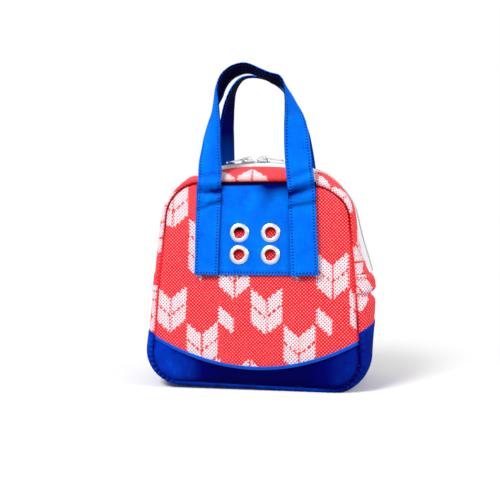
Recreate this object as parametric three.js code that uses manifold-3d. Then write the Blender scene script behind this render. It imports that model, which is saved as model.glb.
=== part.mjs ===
// A small structured handbag: woven front and back panels on a soft rolled gusset, a two-way zip
// over the top, a canvas base, a canvas patch with eyelets and two canvas strap handles.
// Millimetres, +Z up. The front faces -Y and the origin is the middle of the base's underside.
import * as THREE from 'three';
import { mergeVertices } from 'three/addons/utils/BufferGeometryUtils.js';
import Module from 'manifold-3d';

// Front and back panels, measured along their own slope
const PANEL_BASE_WIDTH = 213;
const PANEL_TOP_WIDTH = 184;
const PANEL_HEIGHT = 205.5;
const TOP_CORNER_RADIUS = 36;
const BASE_CORNER_RADIUS = 28;
const BASE_DEPTH = 100;
const TOP_DEPTH = 66;
const SEAM_LIFT = 6;

// Cloth
const CLOTH_THICKNESS = 2;
const LINING_THICKNESS = 0.6;
const LINING_INSET = 0.8;
const BAND_THICKNESS = 1.2;
const PATCH_THICKNESS = 1.4;
const STRAP_THICKNESS = 2.4;
const GAP = 0.3;
const SEAM_GAP = 0.4;

// How far the gusset rolls past the seam, round the bag
const TOP_BULGE = 25.5;
const TOP_ARC_RADIUS = 250;
const SIDE_BULGE = 11;
const BASE_BULGE = 8;
const BULGE_SETTLE_LENGTH = 80;
const ROLL_ROUNDNESS_SHARE = 2.3;

// Zip
const ZIP_END_HEIGHT = 111;
const ZIP_WIDTH = 25;
const TAPE_THICKNESS = 1.2;
const TAPE_RECESS = 0.4;
const COIL_WIDTH = 6;
const COIL_PROUD = 1.4;
const COIL_BELOW_TAPE = 0.6;
const END_TAB_HEIGHT = 24;
const END_TAB_PROUD = 1.2;

// Zip sliders and pulls
const SLIDER_LENGTH = 14;
const SLIDER_WIDTH = 10;
const SLIDER_SPACING = 17;
const SLIDER_MEETING_OFFSET = -4;
const SLIDER_PLATE = 1.5;
const SLIDER_CLEARANCE = 0.4;
const BRIDGE_LENGTH = 12;
const BRIDGE_WIDTH = 2.4;
const BRIDGE_OPENING = 8;
const BRIDGE_HEADROOM = 2.4;
const BRIDGE_THICKNESS = 1.2;
const BRIDGE_SHOULDER = 2.4;
const PULL_LENGTH = 24;
const PULL_WIDTH = 7;
const PULL_THICKNESS = 1.2;
const PULL_BAR = 1.4;
const PULL_EYE_LENGTH = 6.5;

// Base band
const BAND_SIDE_HEIGHT = 46.5;
const BAND_MIDDLE_HEIGHT = 18;

// Patch, eyelets and handles
const PATCH_FOOT_HEIGHT = 110;
const PATCH_HEAD_INSET = 1;
const STRAP_WIDTH = 26;
const STRAP_SPREAD = 99;
const EYELET_SPACING_X = 32;
const EYELET_SPACING_Z = 22.5;
const EYELET_ROWS_HEIGHT = 142;
const EYELET_BORE_RADIUS = 5.5;
const EYELET_WALL = 0.4;
const EYELET_FLANGE_RADIUS = 10;
const EYELET_FLANGE_HEIGHT = 1.8;
// From the bore to the brim, and from the seat to the crown
const EYELET_FLANGE_SHARES = [[0.92, 0], [1, 0.25], [0.82, 0.78], [0.5, 1], [0.15, 0.8], [0, 0.3]];
const WASHER_RADIUS = 9.5;
const WASHER_THICKNESS = 0.6;
const HANDLE_FOLD_INSET = 2.5;
const FRONT_HANDLE_RISE = 124.5;
const BACK_HANDLE_RISE = 128.5;
const FRONT_HANDLE_LEAN = (5 * Math.PI) / 180;
const BACK_HANDLE_LEAN = (10 * Math.PI) / 180;

// The handle's path from its left fold to its right one: across as a share of half the spread,
// up as a share of the rise, and its turn about its own length as a share of a quarter turn.
const HANDLE_PATH_SHARES = [
  [-1, 0, 0], [-0.985, 0.1, 0.03], [-0.94, 0.3, 0.4], [-0.865, 0.56, 0.72], [-0.81, 0.76, 0.91],
  [-0.76, 0.89, 1], [-0.6, 0.973, 1], [-0.26, 1, 1], [0.12, 0.96, 1], [0.4, 0.915, 1],
  [0.585, 0.84, 0.95], [0.7, 0.72, 0.76], [0.82, 0.53, 0.4], [0.9, 0.34, 0.1],
  [0.98, 0.12, 0], [1, 0, 0],
];

// How finely curves are divided
const CORNER_STEPS = 9;
const SIDE_STEPS = 8;
const FLAT_STEPS = 5;
const CIRCLE_STEPS = 20;
const HANDLE_STEPS = 45;
const GUSSET_ROWS = 5;
const FULL_GUSSET_ROWS = 10;
const ZIP_ROWS = 1;

// Sizes worked out from the above
const wallLean = Math.asin((BASE_DEPTH - TOP_DEPTH) / 2 / PANEL_HEIGHT);
const sideLean = Math.atan((PANEL_BASE_WIDTH - PANEL_TOP_WIDTH) / 2 / PANEL_HEIGHT);
const frontPatchFrom = GAP + WASHER_THICKNESS + GAP;
const backPatchFrom = GAP;
const tapeHalf = ZIP_WIDTH / 2;
const coilHalf = COIL_WIDTH / 2;
const strapCentre = STRAP_SPREAD / 2;
const strapHalf = STRAP_WIDTH / 2;
const strapHalfThickness = STRAP_THICKNESS / 2;
const patchHalf = strapCentre + strapHalf;
const eyeletHole = EYELET_BORE_RADIUS + EYELET_WALL + GAP;
const handleFoldHeight = PANEL_HEIGHT - HANDLE_FOLD_INSET;

const wasm = await Module();
wasm.setup();

function finish(color, roughness, metalness = 0) {
  return () => new THREE.MeshStandardMaterial({ color, roughness, metalness });
}

const wovenCloth = finish('#f0606c', 0.85);
const blueCanvas = finish('#0a5fd8', 0.8);
const baseCanvas = finish('#0a2c9c', 0.8);
const liningCloth = finish('#d8d4cc', 0.85);
const zipTape = finish('#f2f4f4', 0.8);
const zipCoil = finish('#fbfbfb', 0.4);
const silverMetal = finish('#d9dcdd', 0.25, 1);

// The seam's outline in the plane of a panel: x across, s up the slope, and its outward normal.
// It runs by arc length from the middle of the top, and positive lengths go down the right side.
function arcRun(x, s, radius, fromAngle, toAngle) {
  const length = radius * (fromAngle - toAngle);
  const at = (along) => {
    const angle = fromAngle - along / radius;
    const nx = Math.cos(angle);
    const ns = Math.sin(angle);
    return { x: x + nx * radius, s: s + ns * radius, nx, ns };
  };
  return { length, at, steps: CORNER_STEPS };
}

function lineRun(x, s, angle, length, steps) {
  const nx = Math.cos(angle);
  const ns = Math.sin(angle);
  return { length, at: (along) => ({ x: x + ns * along, s: s - nx * along, nx, ns }), steps };
}

function seamRuns() {
  const up = Math.PI / 2;
  const topTangent = TOP_CORNER_RADIUS * Math.tan((up - sideLean) / 2);
  const baseTangent = BASE_CORNER_RADIUS * Math.tan((up + sideLean) / 2);
  const topFlat = PANEL_TOP_WIDTH / 2 - topTangent;
  const baseFlat = PANEL_BASE_WIDTH / 2 - baseTangent;
  const sideLength = PANEL_HEIGHT / Math.cos(sideLean) - topTangent - baseTangent;
  const top = lineRun(0, PANEL_HEIGHT, up, topFlat, FLAT_STEPS);
  const corner = arcRun(topFlat, PANEL_HEIGHT - TOP_CORNER_RADIUS, TOP_CORNER_RADIUS, up, sideLean);
  const cornerEnd = corner.at(corner.length);
  const side = lineRun(cornerEnd.x, cornerEnd.s, sideLean, sideLength, SIDE_STEPS);
  const foot = arcRun(baseFlat, BASE_CORNER_RADIUS, BASE_CORNER_RADIUS, sideLean, -up);
  const base = lineRun(baseFlat, 0, -up, baseFlat, FLAT_STEPS);
  return [top, corner, side, foot, base];
}

const runs = seamRuns();
const topFlatLength = runs[0].length;
const cornerEndLength = topFlatLength + runs[1].length;
const sideEndLength = cornerEndLength + runs[2].length;
const footEndLength = sideEndLength + runs[3].length;
const halfLoop = footEndLength + runs[4].length;

function wrapped(length) {
  const turn = 2 * halfLoop;
  return length - turn * Math.round(length / turn);
}

function seamPoint(length) {
  const signed = wrapped(length);
  const side = signed < 0 ? -1 : 1;
  let rest = Math.abs(signed);
  let index = 0;
  while (index < runs.length - 1 && rest > runs[index].length) {
    rest -= runs[index].length;
    index += 1;
  }
  const run = runs[index];
  const point = run.at(Math.min(rest, run.length));
  return { x: side * point.x, s: point.s, nx: side * point.nx, ns: point.ns };
}

function lengthAtHeight(height) {
  const sideTop = runs[2].at(0).s;
  return cornerEndLength + (sideTop - height) / Math.cos(sideLean);
}

const zipEndLength = lengthAtHeight(ZIP_END_HEIGHT);
const tabEndLength = lengthAtHeight(ZIP_END_HEIGHT - END_TAB_HEIGHT);
const bandSideLength = lengthAtHeight(BAND_SIDE_HEIGHT);

// Every place along the seam where curves are divided, within one stretch of it
function stations(from, to) {
  const marks = [from, to];
  let start = 0;
  for (const run of runs) {
    for (let step = 0; step <= run.steps; step += 1) {
      const mark = start + (run.length * step) / run.steps;
      marks.push(-mark, mark, 2 * halfLoop - mark);
    }
    start += run.length;
  }
  const inside = marks.filter((mark) => mark >= from && mark <= to).sort((a, b) => a - b);
  return inside.filter((mark, index) => index === 0 || mark - inside[index - 1] > GAP);
}

function halfDepth(s) {
  return BASE_DEPTH / 2 - s * Math.sin(wallLean);
}

function heightOf(s) {
  return SEAM_LIFT + s * Math.cos(wallLean);
}

function smooth(share) {
  const t = THREE.MathUtils.clamp(share, 0, 1);
  return t * t * (3 - 2 * t);
}

// The roll past the seam: an arc over the top, easing to the sides, then to the base
function topArcDrop(length) {
  return TOP_ARC_RADIUS - Math.sqrt(TOP_ARC_RADIUS ** 2 - length ** 2);
}

function bulge(signedLength) {
  const length = Math.abs(wrapped(signedLength));
  if (length <= topFlatLength) return TOP_BULGE - topArcDrop(length);
  const shoulder = TOP_BULGE - topArcDrop(topFlatLength);
  const slope = topFlatLength / Math.sqrt(TOP_ARC_RADIUS ** 2 - topFlatLength ** 2);
  const t = Math.min((length - topFlatLength) / BULGE_SETTLE_LENGTH, 1);
  const eased = shoulder + (SIDE_BULGE - shoulder) * smooth(t);
  const carried = -slope * BULGE_SETTLE_LENGTH * t * (1 - t) ** 2;
  const side = eased + carried;
  const low = smooth((length - sideEndLength) / (footEndLength - sideEndLength));
  return side + (BASE_BULGE - side) * low;
}

function rollProfile(share) {
  return (1 - Math.abs(share) ** ROLL_ROUNDNESS_SHARE) ** (1 / ROLL_ROUNDNESS_SHARE);
}

// A point of the gusset: along the seam, across it from 0 at the front to 1 at the back, and
// under its outer face by depth. Its underside is flat on the floor.
function gussetPoint(length, across, depth) {
  const seam = seamPoint(length);
  const lateral = Math.cos(Math.PI * across);
  const out = SEAM_GAP + (bulge(length) - depth) * rollProfile(lateral);
  const y = -(halfDepth(seam.s) - Math.max(depth, 0)) * lateral;
  const z = heightOf(seam.s) + seam.ns * out;
  return new THREE.Vector3(seam.x + seam.nx * out, y, Math.max(z, depth, 0));
}

// How far across the gusset a line parallel to the zip lies, on the front half
function acrossAt(offset) {
  return (length, depth) => {
    const reach = halfDepth(seamPoint(length).s) - Math.max(depth, 0);
    return Math.acos(offset / reach) / Math.PI;
  };
}

const frontSeam = () => 0;
const backSeam = () => 1;

function solidFrom(positions, faces) {
  const geometry = new THREE.BufferGeometry();
  geometry.setAttribute('position', new THREE.Float32BufferAttribute(positions, 3));
  geometry.setIndex(faces);
  geometry.computeVertexNormals();
  return geometry;
}

function signedVolume(geometry) {
  const corners = geometry.index.array;
  const place = geometry.attributes.position;
  const [a, b, c] = [new THREE.Vector3(), new THREE.Vector3(), new THREE.Vector3()];
  let volume = 0;
  for (let i = 0; i < corners.length; i += 3) {
    a.fromBufferAttribute(place, corners[i]);
    b.fromBufferAttribute(place, corners[i + 1]);
    c.fromBufferAttribute(place, corners[i + 2]);
    volume += a.dot(b.cross(c));
  }
  return volume;
}

function facingOut(geometry) {
  if (signedVolume(geometry) > 0) return geometry;
  const corners = geometry.index.array;
  for (let i = 0; i < corners.length; i += 3) {
    [corners[i + 1], corners[i + 2]] = [corners[i + 2], corners[i + 1]];
  }
  geometry.computeVertexNormals();
  return geometry;
}

// A stretch of the gusset as a solid sheet between two depths and two lines across it
function gussetSheet({ from, to, startLine, endLine, rows, outer, inner }) {
  const marks = stations(from, to);
  const stride = rows + 1;
  const layer = marks.length * stride;
  const positions = [];
  for (const depth of [outer, inner]) {
    for (const mark of marks) {
      const start = startLine(mark, depth);
      const end = endLine(mark, depth);
      for (let row = 0; row <= rows; row += 1) {
        const across = start + ((end - start) * row) / rows;
        positions.push(...gussetPoint(mark, across, depth));
      }
    }
  }
  const faces = [];
  const quad = (a, b, c, d) => faces.push(a, b, c, a, c, d);
  for (let i = 0; i + 1 < marks.length; i += 1) {
    for (let row = 0; row < rows; row += 1) {
      const a = i * stride + row;
      quad(a, a + 1, a + stride + 1, a + stride);
      quad(a + layer, a + layer + stride, a + layer + stride + 1, a + layer + 1);
    }
    const first = i * stride;
    const last = first + rows;
    quad(first, first + stride, first + stride + layer, first + layer);
    quad(last, last + layer, last + stride + layer, last + stride);
  }
  for (let row = 0; row < rows; row += 1) {
    const end = (marks.length - 1) * stride + row;
    quad(row, row + layer, row + layer + 1, row + 1);
    quad(end, end + 1, end + layer + 1, end + layer);
  }
  return facingOut(solidFrom(positions, faces));
}

// A flat piece lying on a panel, between two distances out of it
function plateOnPanel(shape, from, to) {
  const curveSegments = CIRCLE_STEPS / 2;
  const options = { depth: to - from, bevelEnabled: false, curveSegments };
  const plate = new THREE.ExtrudeGeometry(shape, options);
  plate.rotateX(Math.PI / 2);
  plate.translate(0, -from, 0);
  return plate;
}

function panelShape(inset) {
  const marks = stations(-halfLoop, halfLoop).slice(1);
  return new THREE.Shape(marks.map((mark) => {
    const seam = seamPoint(mark);
    return new THREE.Vector2(seam.x - seam.nx * inset, seam.s - seam.ns * inset);
  }));
}

function bandHeight(x, edge) {
  const rise = BAND_SIDE_HEIGHT - BAND_MIDDLE_HEIGHT;
  return BAND_MIDDLE_HEIGHT + rise * (x / edge) ** 2;
}

function bandShape() {
  const edge = seamPoint(bandSideLength).x;
  const outline = stations(bandSideLength, 2 * halfLoop - bandSideLength).map((mark) => {
    const seam = seamPoint(mark);
    return new THREE.Vector2(seam.x, seam.s);
  });
  for (let step = 1; step < CIRCLE_STEPS; step += 1) {
    const x = edge * ((2 * step) / CIRCLE_STEPS - 1);
    outline.push(new THREE.Vector2(x, bandHeight(x, edge)));
  }
  return new THREE.Shape(outline);
}

function rectangle(left, right, low, high) {
  const corners = [[left, low], [right, low], [right, high], [left, high]];
  return new THREE.Shape(corners.map(([x, y]) => new THREE.Vector2(x, y)));
}

function eyeletPlaces() {
  const places = [];
  for (const row of [1, -1]) {
    for (const column of [-1, 1]) {
      const x = (column * EYELET_SPACING_X) / 2;
      places.push([x, EYELET_ROWS_HEIGHT + (row * EYELET_SPACING_Z) / 2]);
    }
  }
  return places;
}

function patchShape(pierced) {
  const head = PANEL_HEIGHT - PATCH_HEAD_INSET;
  const shape = rectangle(-patchHalf, patchHalf, PATCH_FOOT_HEIGHT, head);
  if (pierced) {
    for (const [x, s] of eyeletPlaces()) {
      shape.holes.push(new THREE.Path().absarc(x, s, eyeletHole, 0, 2 * Math.PI, true));
    }
  }
  return shape;
}

function eyelet(patchFrom) {
  const back = GAP + WASHER_THICKNESS / 2;
  const seat = patchFrom + PATCH_THICKNESS + GAP;
  const outside = EYELET_BORE_RADIUS + EYELET_WALL;
  const brimWidth = EYELET_FLANGE_RADIUS - EYELET_BORE_RADIUS;
  const flange = EYELET_FLANGE_SHARES.map(([across, up]) => (
    [EYELET_BORE_RADIUS + brimWidth * across, seat + EYELET_FLANGE_HEIGHT * up]));
  const barrel = [[EYELET_BORE_RADIUS, back], [outside, back], [outside, seat]];
  const profile = [...barrel, ...flange, barrel[0]];
  const points = profile.map(([radius, out]) => new THREE.Vector2(radius, out));
  const ring = new THREE.LatheGeometry(points, CIRCLE_STEPS);
  ring.rotateX(Math.PI);
  return closedBody(ring);
}

function closedBody(geometry) {
  geometry.deleteAttribute('normal');
  geometry.deleteAttribute('uv');
  const merged = mergeVertices(geometry, GAP / 100);
  return facingOut(merged);
}

function washerShape() {
  const shape = new THREE.Shape().absarc(0, 0, WASHER_RADIUS, 0, 2 * Math.PI);
  shape.holes.push(new THREE.Path().absarc(0, 0, eyeletHole, 0, 2 * Math.PI, true));
  return shape;
}

// The handle: a flat strap that turns about its own length, from its left fold to its right one
function handleSections(facing, rise) {
  const points = HANDLE_PATH_SHARES.map(([across, up]) => (
    new THREE.Vector3(facing * across * strapCentre, strapHalfThickness + GAP / 2, GAP + up * rise)));
  const turns = HANDLE_PATH_SHARES.map((row) => new THREE.Vector3(row[2], 0, 0));
  if (facing < 0) {
    points.reverse();
    turns.reverse();
  }
  const path = new THREE.CatmullRomCurve3(points, false, 'catmullrom');
  const turning = new THREE.CatmullRomCurve3(turns, false, 'catmullrom');
  const sections = [];
  for (let step = 0; step <= HANDLE_STEPS; step += 1) {
    const share = step / HANDLE_STEPS;
    const turn = (THREE.MathUtils.clamp(turning.getPoint(share).x, 0, 1) * Math.PI) / 2;
    const tangent = path.getTangent(share);
    if (step === 0) tangent.set(0, 0, 1);
    if (step === HANDLE_STEPS) tangent.set(0, 0, -1);
    sections.push({ centre: path.getPoint(share), tangent, turn });
  }
  return sections;
}

function handleStrap(facing, rise) {
  const inward = new THREE.Vector3(0, 1, 0);
  const positions = [];
  const faces = [];
  const sections = handleSections(facing, rise);
  for (const { centre, tangent, turn } of sections) {
    const outside = new THREE.Vector3(-tangent.z, 0, tangent.x);
    const [cos, sin] = [Math.cos(turn), Math.sin(turn)];
    const wide = outside.clone().multiplyScalar(cos).addScaledVector(inward, sin);
    const face = outside.clone().multiplyScalar(sin).addScaledVector(inward, -cos);
    for (const [across, out] of [[1, 1], [-1, 1], [-1, -1], [1, -1]]) {
      const corner = centre.clone().addScaledVector(wide, across * strapHalf);
      positions.push(...corner.addScaledVector(face, out * strapHalfThickness));
    }
  }
  for (let i = 0; i + 1 < sections.length; i += 1) {
    for (let k = 0; k < 4; k += 1) {
      const [a, b] = [4 * i + k, 4 * i + ((k + 1) % 4)];
      faces.push(a, b, b + 4, a, b + 4, a + 4);
    }
  }
  const end = 4 * (sections.length - 1);
  faces.push(0, 3, 2, 0, 2, 1, end, end + 1, end + 2, end, end + 2, end + 3);
  return facingOut(solidFrom(positions, faces));
}

// Zip slider, above the tape's face at its own origin, x along the zip
const channelHalf = coilHalf + SLIDER_CLEARANCE;
const plateFrom = COIL_PROUD + SLIDER_CLEARANCE;
const plateTo = plateFrom + SLIDER_PLATE;
const pullPivotHeight = plateTo + BRIDGE_HEADROOM / 2;

function solidOf(geometry) {
  const body = closedBody(geometry);
  const vertProperties = new Float32Array(body.attributes.position.array);
  const triVerts = new Uint32Array(body.index.array);
  return new wasm.Manifold(new wasm.Mesh({ numProp: 3, vertProperties, triVerts }));
}

function geometryOf(solid) {
  const mesh = solid.getMesh();
  return solidFrom(Array.from(mesh.vertProperties), Array.from(mesh.triVerts));
}

function polygon(corners) {
  return new THREE.Shape(corners.map(([x, y]) => new THREE.Vector2(x, y)));
}

function sliderBody() {
  const half = SLIDER_WIDTH / 2;
  const channel = polygon([
    [-half, SLIDER_CLEARANCE], [-channelHalf, SLIDER_CLEARANCE], [-channelHalf, plateFrom],
    [channelHalf, plateFrom], [channelHalf, SLIDER_CLEARANCE], [half, SLIDER_CLEARANCE],
    [half, plateTo], [-half, plateTo],
  ]);
  const plate = new THREE.ExtrudeGeometry(channel, { depth: SLIDER_LENGTH, bevelEnabled: false });
  plate.translate(0, 0, -SLIDER_LENGTH / 2);
  const along = new THREE.Vector3(1, 0, 0);
  const across = new THREE.Vector3(0, 1, 0);
  const up = new THREE.Vector3(0, 0, 1);
  plate.applyMatrix4(new THREE.Matrix4().makeBasis(across, up, along));
  const foot = plateTo - SLIDER_PLATE / 2;
  const ceiling = plateTo + BRIDGE_HEADROOM;
  const crown = ceiling + BRIDGE_THICKNESS;
  const shoulder = crown - BRIDGE_SHOULDER;
  const eye = BRIDGE_OPENING / 2;
  const reach = BRIDGE_LENGTH / 2;
  const bridgeSide = polygon([
    [-reach, foot], [-eye, foot], [-eye, ceiling], [eye, ceiling], [eye, foot], [reach, foot],
    [reach, shoulder], [reach - BRIDGE_SHOULDER, crown], [BRIDGE_SHOULDER - reach, crown],
    [-reach, shoulder],
  ]);
  const bridge = new THREE.ExtrudeGeometry(bridgeSide, { depth: BRIDGE_WIDTH, bevelEnabled: false });
  bridge.rotateX(Math.PI / 2);
  bridge.translate(0, BRIDGE_WIDTH / 2, 0);
  return geometryOf(solidOf(plate).add(solidOf(bridge)));
}

// The pull's cross-bar lies at its own origin, and its tab runs out along x
function pullTab() {
  const half = PULL_WIDTH / 2;
  const shape = rectangle(-PULL_BAR / 2, PULL_LENGTH, -half, half);
  const eyeHalf = BRIDGE_WIDTH / 2 + SLIDER_CLEARANCE;
  const eye = rectangle(PULL_BAR / 2, PULL_BAR / 2 + PULL_EYE_LENGTH, -eyeHalf, eyeHalf);
  shape.holes.push(new THREE.Path(eye.getPoints().reverse()));
  const tab = new THREE.ExtrudeGeometry(shape, { depth: PULL_THICKNESS, bevelEnabled: false });
  tab.translate(0, 0, -PULL_THICKNESS / 2);
  return tab;
}

function piece(name, geometry, material) {
  const mesh = new THREE.Mesh(geometry, material());
  mesh.name = name;
  return mesh;
}

// One face of the bag: its panel, band, patch and sewn strap ends, in the plane of the panel
function wall(end, facing, patchFrom) {
  const group = new THREE.Group();
  group.position.set(0, -BASE_DEPTH / 2, SEAM_LIFT);
  group.rotation.x = -wallLean;
  const liningFrom = -CLOTH_THICKNESS - GAP - LINING_THICKNESS;
  const liningTo = liningFrom + LINING_THICKNESS;
  const patchTo = patchFrom + PATCH_THICKNESS;
  const panel = plateOnPanel(panelShape(0), -CLOTH_THICKNESS, 0);
  const lining = plateOnPanel(panelShape(LINING_INSET), liningFrom, liningTo);
  const band = plateOnPanel(bandShape(), GAP, GAP + BAND_THICKNESS);
  const patch = plateOnPanel(patchShape(facing > 0), patchFrom, patchTo);
  group.add(
    piece(`${end}_panel`, panel, wovenCloth),
    piece(`${end}_lining`, lining, liningCloth),
    piece(`${end}_base_band`, band, baseCanvas),
    piece(`${end}_patch`, patch, blueCanvas),
  );
  const strapFrom = patchTo + GAP;
  const strapHead = handleFoldHeight - GAP;
  for (const side of [-1, 1]) {
    const centre = side * strapCentre;
    const [near, far] = [centre - strapHalf, centre + strapHalf];
    const outline = rectangle(near, far, PATCH_FOOT_HEIGHT, strapHead);
    const label = side * facing < 0 ? 'left' : 'right';
    const strap = plateOnPanel(outline, strapFrom, strapFrom + STRAP_THICKNESS);
    group.add(piece(`${end}_strap_${label}`, strap, blueCanvas));
  }
  return group;
}

function eyelets(patchFrom) {
  const group = new THREE.Group();
  eyeletPlaces().forEach(([x, s], index) => {
    const ring = piece(`eyelet_${index + 1}`, eyelet(patchFrom), silverMetal);
    const washer = plateOnPanel(washerShape(), GAP, GAP + WASHER_THICKNESS);
    const backing = piece(`eyelet_washer_${index + 1}`, washer, silverMetal);
    for (const mesh of [ring, backing]) {
      mesh.position.set(x, 0, s);
      group.add(mesh);
    }
  });
  return group;
}

// Where a handle folds, on the outer face of its strap
function handlePivot(patchFrom) {
  const out = patchFrom + PATCH_THICKNESS + GAP + STRAP_THICKNESS + GAP / 2;
  const y = -halfDepth(handleFoldHeight) - out * Math.cos(wallLean);
  const z = heightOf(handleFoldHeight) + out * Math.sin(wallLean);
  return new THREE.Vector3(0, y, z);
}

function zipAndGusset(end) {
  const group = new THREE.Group();
  const zipRun = { from: -zipEndLength, to: zipEndLength };
  const cloth = gussetSheet({
    ...zipRun, startLine: frontSeam, endLine: acrossAt(tapeHalf + GAP), rows: GUSSET_ROWS,
    outer: 0, inner: CLOTH_THICKNESS,
  });
  const tape = gussetSheet({
    ...zipRun, startLine: acrossAt(tapeHalf), endLine: acrossAt(coilHalf + GAP), rows: ZIP_ROWS,
    outer: TAPE_RECESS, inner: TAPE_RECESS + TAPE_THICKNESS,
  });
  const coil = gussetSheet({
    ...zipRun, startLine: acrossAt(coilHalf), endLine: acrossAt(GAP / 2), rows: ZIP_ROWS,
    outer: TAPE_RECESS - COIL_PROUD, inner: TAPE_RECESS + COIL_BELOW_TAPE,
  });
  group.add(
    piece(`${end}_top_gusset`, cloth, wovenCloth),
    piece(`${end}_zip_tape`, tape, zipTape),
    piece(`${end}_zip_coil`, coil, zipCoil),
  );
  return group;
}

function bagHalf({ end, facing, patchFrom, rise, lean }) {
  const half = new THREE.Group();
  if (facing < 0) half.rotation.z = Math.PI;
  const face = wall(end, facing, patchFrom);
  if (facing > 0) face.add(eyelets(patchFrom));
  const handle = piece(`${end}_handle`, handleStrap(facing, rise), blueCanvas);
  handle.position.copy(handlePivot(patchFrom));
  handle.rotation.x = -lean;
  half.add(face, zipAndGusset(end), handle);
  return half;
}

// Pieces of the gusset that run right across the bag
function crossPieces() {
  const across = { startLine: frontSeam, endLine: backSeam };
  const cloth = { outer: 0, inner: CLOTH_THICKNESS, rows: FULL_GUSSET_ROWS };
  const group = new THREE.Group();
  for (const [label, side] of [['left', -1], ['right', 1]]) {
    const stretch = (near, far) => {
      const ends = [side * near, side * far].sort((a, b) => a - b);
      return { from: ends[0], to: ends[1] };
    };
    const tab = gussetSheet({
      ...across, ...stretch(zipEndLength + GAP, tabEndLength), rows: FULL_GUSSET_ROWS,
      outer: -END_TAB_PROUD, inner: CLOTH_THICKNESS - END_TAB_PROUD,
    });
    const gusset = gussetSheet({
      ...across, ...stretch(tabEndLength + GAP, bandSideLength), ...cloth,
    });
    group.add(piece(`zip_end_tab_${label}`, tab, wovenCloth));
    group.add(piece(`side_gusset_${label}`, gusset, wovenCloth));
  }
  const baseFrom = bandSideLength + GAP;
  const base = gussetSheet({ ...across, from: baseFrom, to: 2 * halfLoop - baseFrom, ...cloth });
  const liningOuter = CLOTH_THICKNESS + GAP;
  const lining = gussetSheet({
    ...across, from: zipEndLength, to: 2 * halfLoop - zipEndLength, rows: FULL_GUSSET_ROWS,
    outer: liningOuter, inner: liningOuter + LINING_THICKNESS,
  });
  group.add(piece('base_gusset', base, baseCanvas), piece('gusset_lining', lining, liningCloth));
  return group;
}

// Sliders ride on the arc of the zip, about its centre far below
const zipArcCentre = heightOf(PANEL_HEIGHT) + SEAM_GAP + TOP_BULGE - TAPE_RECESS - TOP_ARC_RADIUS;

function zipSlider(label, side) {
  const arc = new THREE.Group();
  arc.position.z = zipArcCentre;
  arc.rotation.y = (SLIDER_MEETING_OFFSET + (side * SLIDER_SPACING) / 2) / TOP_ARC_RADIUS;
  const seat = new THREE.Group();
  seat.position.z = TOP_ARC_RADIUS;
  if (side < 0) seat.rotation.z = Math.PI;
  const pull = piece(`pull_${label}`, pullTab(), silverMetal);
  pull.position.z = pullPivotHeight;
  seat.add(piece(`slider_${label}`, sliderBody(), silverMetal), pull);
  arc.add(seat);
  return arc;
}

const front = {
  end: 'front', facing: 1, patchFrom: frontPatchFrom, rise: FRONT_HANDLE_RISE, lean: FRONT_HANDLE_LEAN,
};
const back = {
  end: 'back', facing: -1, patchFrom: backPatchFrom, rise: BACK_HANDLE_RISE, lean: BACK_HANDLE_LEAN,
};

const miniBag = new THREE.Group();
miniBag.add(
  bagHalf(front),
  bagHalf(back),
  crossPieces(),
  zipSlider('left', -1),
  zipSlider('right', 1),
);

export default miniBag;
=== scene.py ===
# %% [markdown]
# A small handbag is sewn from a few flat pieces of cloth: two faces, a gusset that runs round
# between them, a base band, a patch and two strap handles. Here each piece is made in mesh code
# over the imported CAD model, which gives the frame, the joints and the box that all must stay in.
# Lengths are written in millimetres and turned to metres by MM, as Blender works in metres.

import math

import bmesh
import bpy
from mathutils import Matrix, Vector, noise


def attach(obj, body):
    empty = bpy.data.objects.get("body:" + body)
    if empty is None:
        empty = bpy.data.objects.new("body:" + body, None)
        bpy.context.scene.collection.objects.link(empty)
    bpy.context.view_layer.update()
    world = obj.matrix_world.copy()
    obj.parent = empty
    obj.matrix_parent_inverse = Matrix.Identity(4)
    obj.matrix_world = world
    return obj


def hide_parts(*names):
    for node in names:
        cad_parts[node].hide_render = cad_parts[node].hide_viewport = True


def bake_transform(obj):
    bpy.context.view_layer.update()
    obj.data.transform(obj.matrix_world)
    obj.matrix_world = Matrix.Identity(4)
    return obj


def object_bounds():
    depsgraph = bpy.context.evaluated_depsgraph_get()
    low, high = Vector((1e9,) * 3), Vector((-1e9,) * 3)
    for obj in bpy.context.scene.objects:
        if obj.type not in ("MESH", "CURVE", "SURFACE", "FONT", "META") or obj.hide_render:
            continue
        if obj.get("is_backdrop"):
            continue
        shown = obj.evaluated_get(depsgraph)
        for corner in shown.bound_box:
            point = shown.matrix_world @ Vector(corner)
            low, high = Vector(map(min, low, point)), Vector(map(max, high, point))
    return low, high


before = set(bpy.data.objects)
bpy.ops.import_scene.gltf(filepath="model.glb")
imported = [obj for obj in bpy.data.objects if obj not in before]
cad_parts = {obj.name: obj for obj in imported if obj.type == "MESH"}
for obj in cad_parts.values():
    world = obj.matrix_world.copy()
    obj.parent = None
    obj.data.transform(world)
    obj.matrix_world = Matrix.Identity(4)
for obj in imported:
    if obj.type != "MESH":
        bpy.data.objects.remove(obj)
cad_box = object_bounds()
MM = 0.001
size = cad_box[1] - cad_box[0]
print("The CAD bag measures", [round(side / MM, 1) for side in size], "mm")

# %% [markdown]
# The photograph was taken from in front, about seven degrees to the right and level with the bag's
# middle. The camera's place and lens are set so that the handles, the eyelets and the seam fall on
# the photograph's pixels. A Track To constraint would also aim the camera, but turning its matrix
# by hand keeps the roll at zero.

# %% Camera
CAMERA_TURN = math.radians(7.2)
CAMERA_RISE = math.radians(0.7)
CAMERA_DISTANCE = 640 * MM
CAMERA_TARGET_RIGHT = -10.2 * MM
CAMERA_TARGET_HEIGHT = 141 * MM
SENSOR_WIDTH = 36
FOCAL_PIXELS = 588
PHOTO_WIDTH = 500
NEAR_CLIP = 10 * MM

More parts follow.
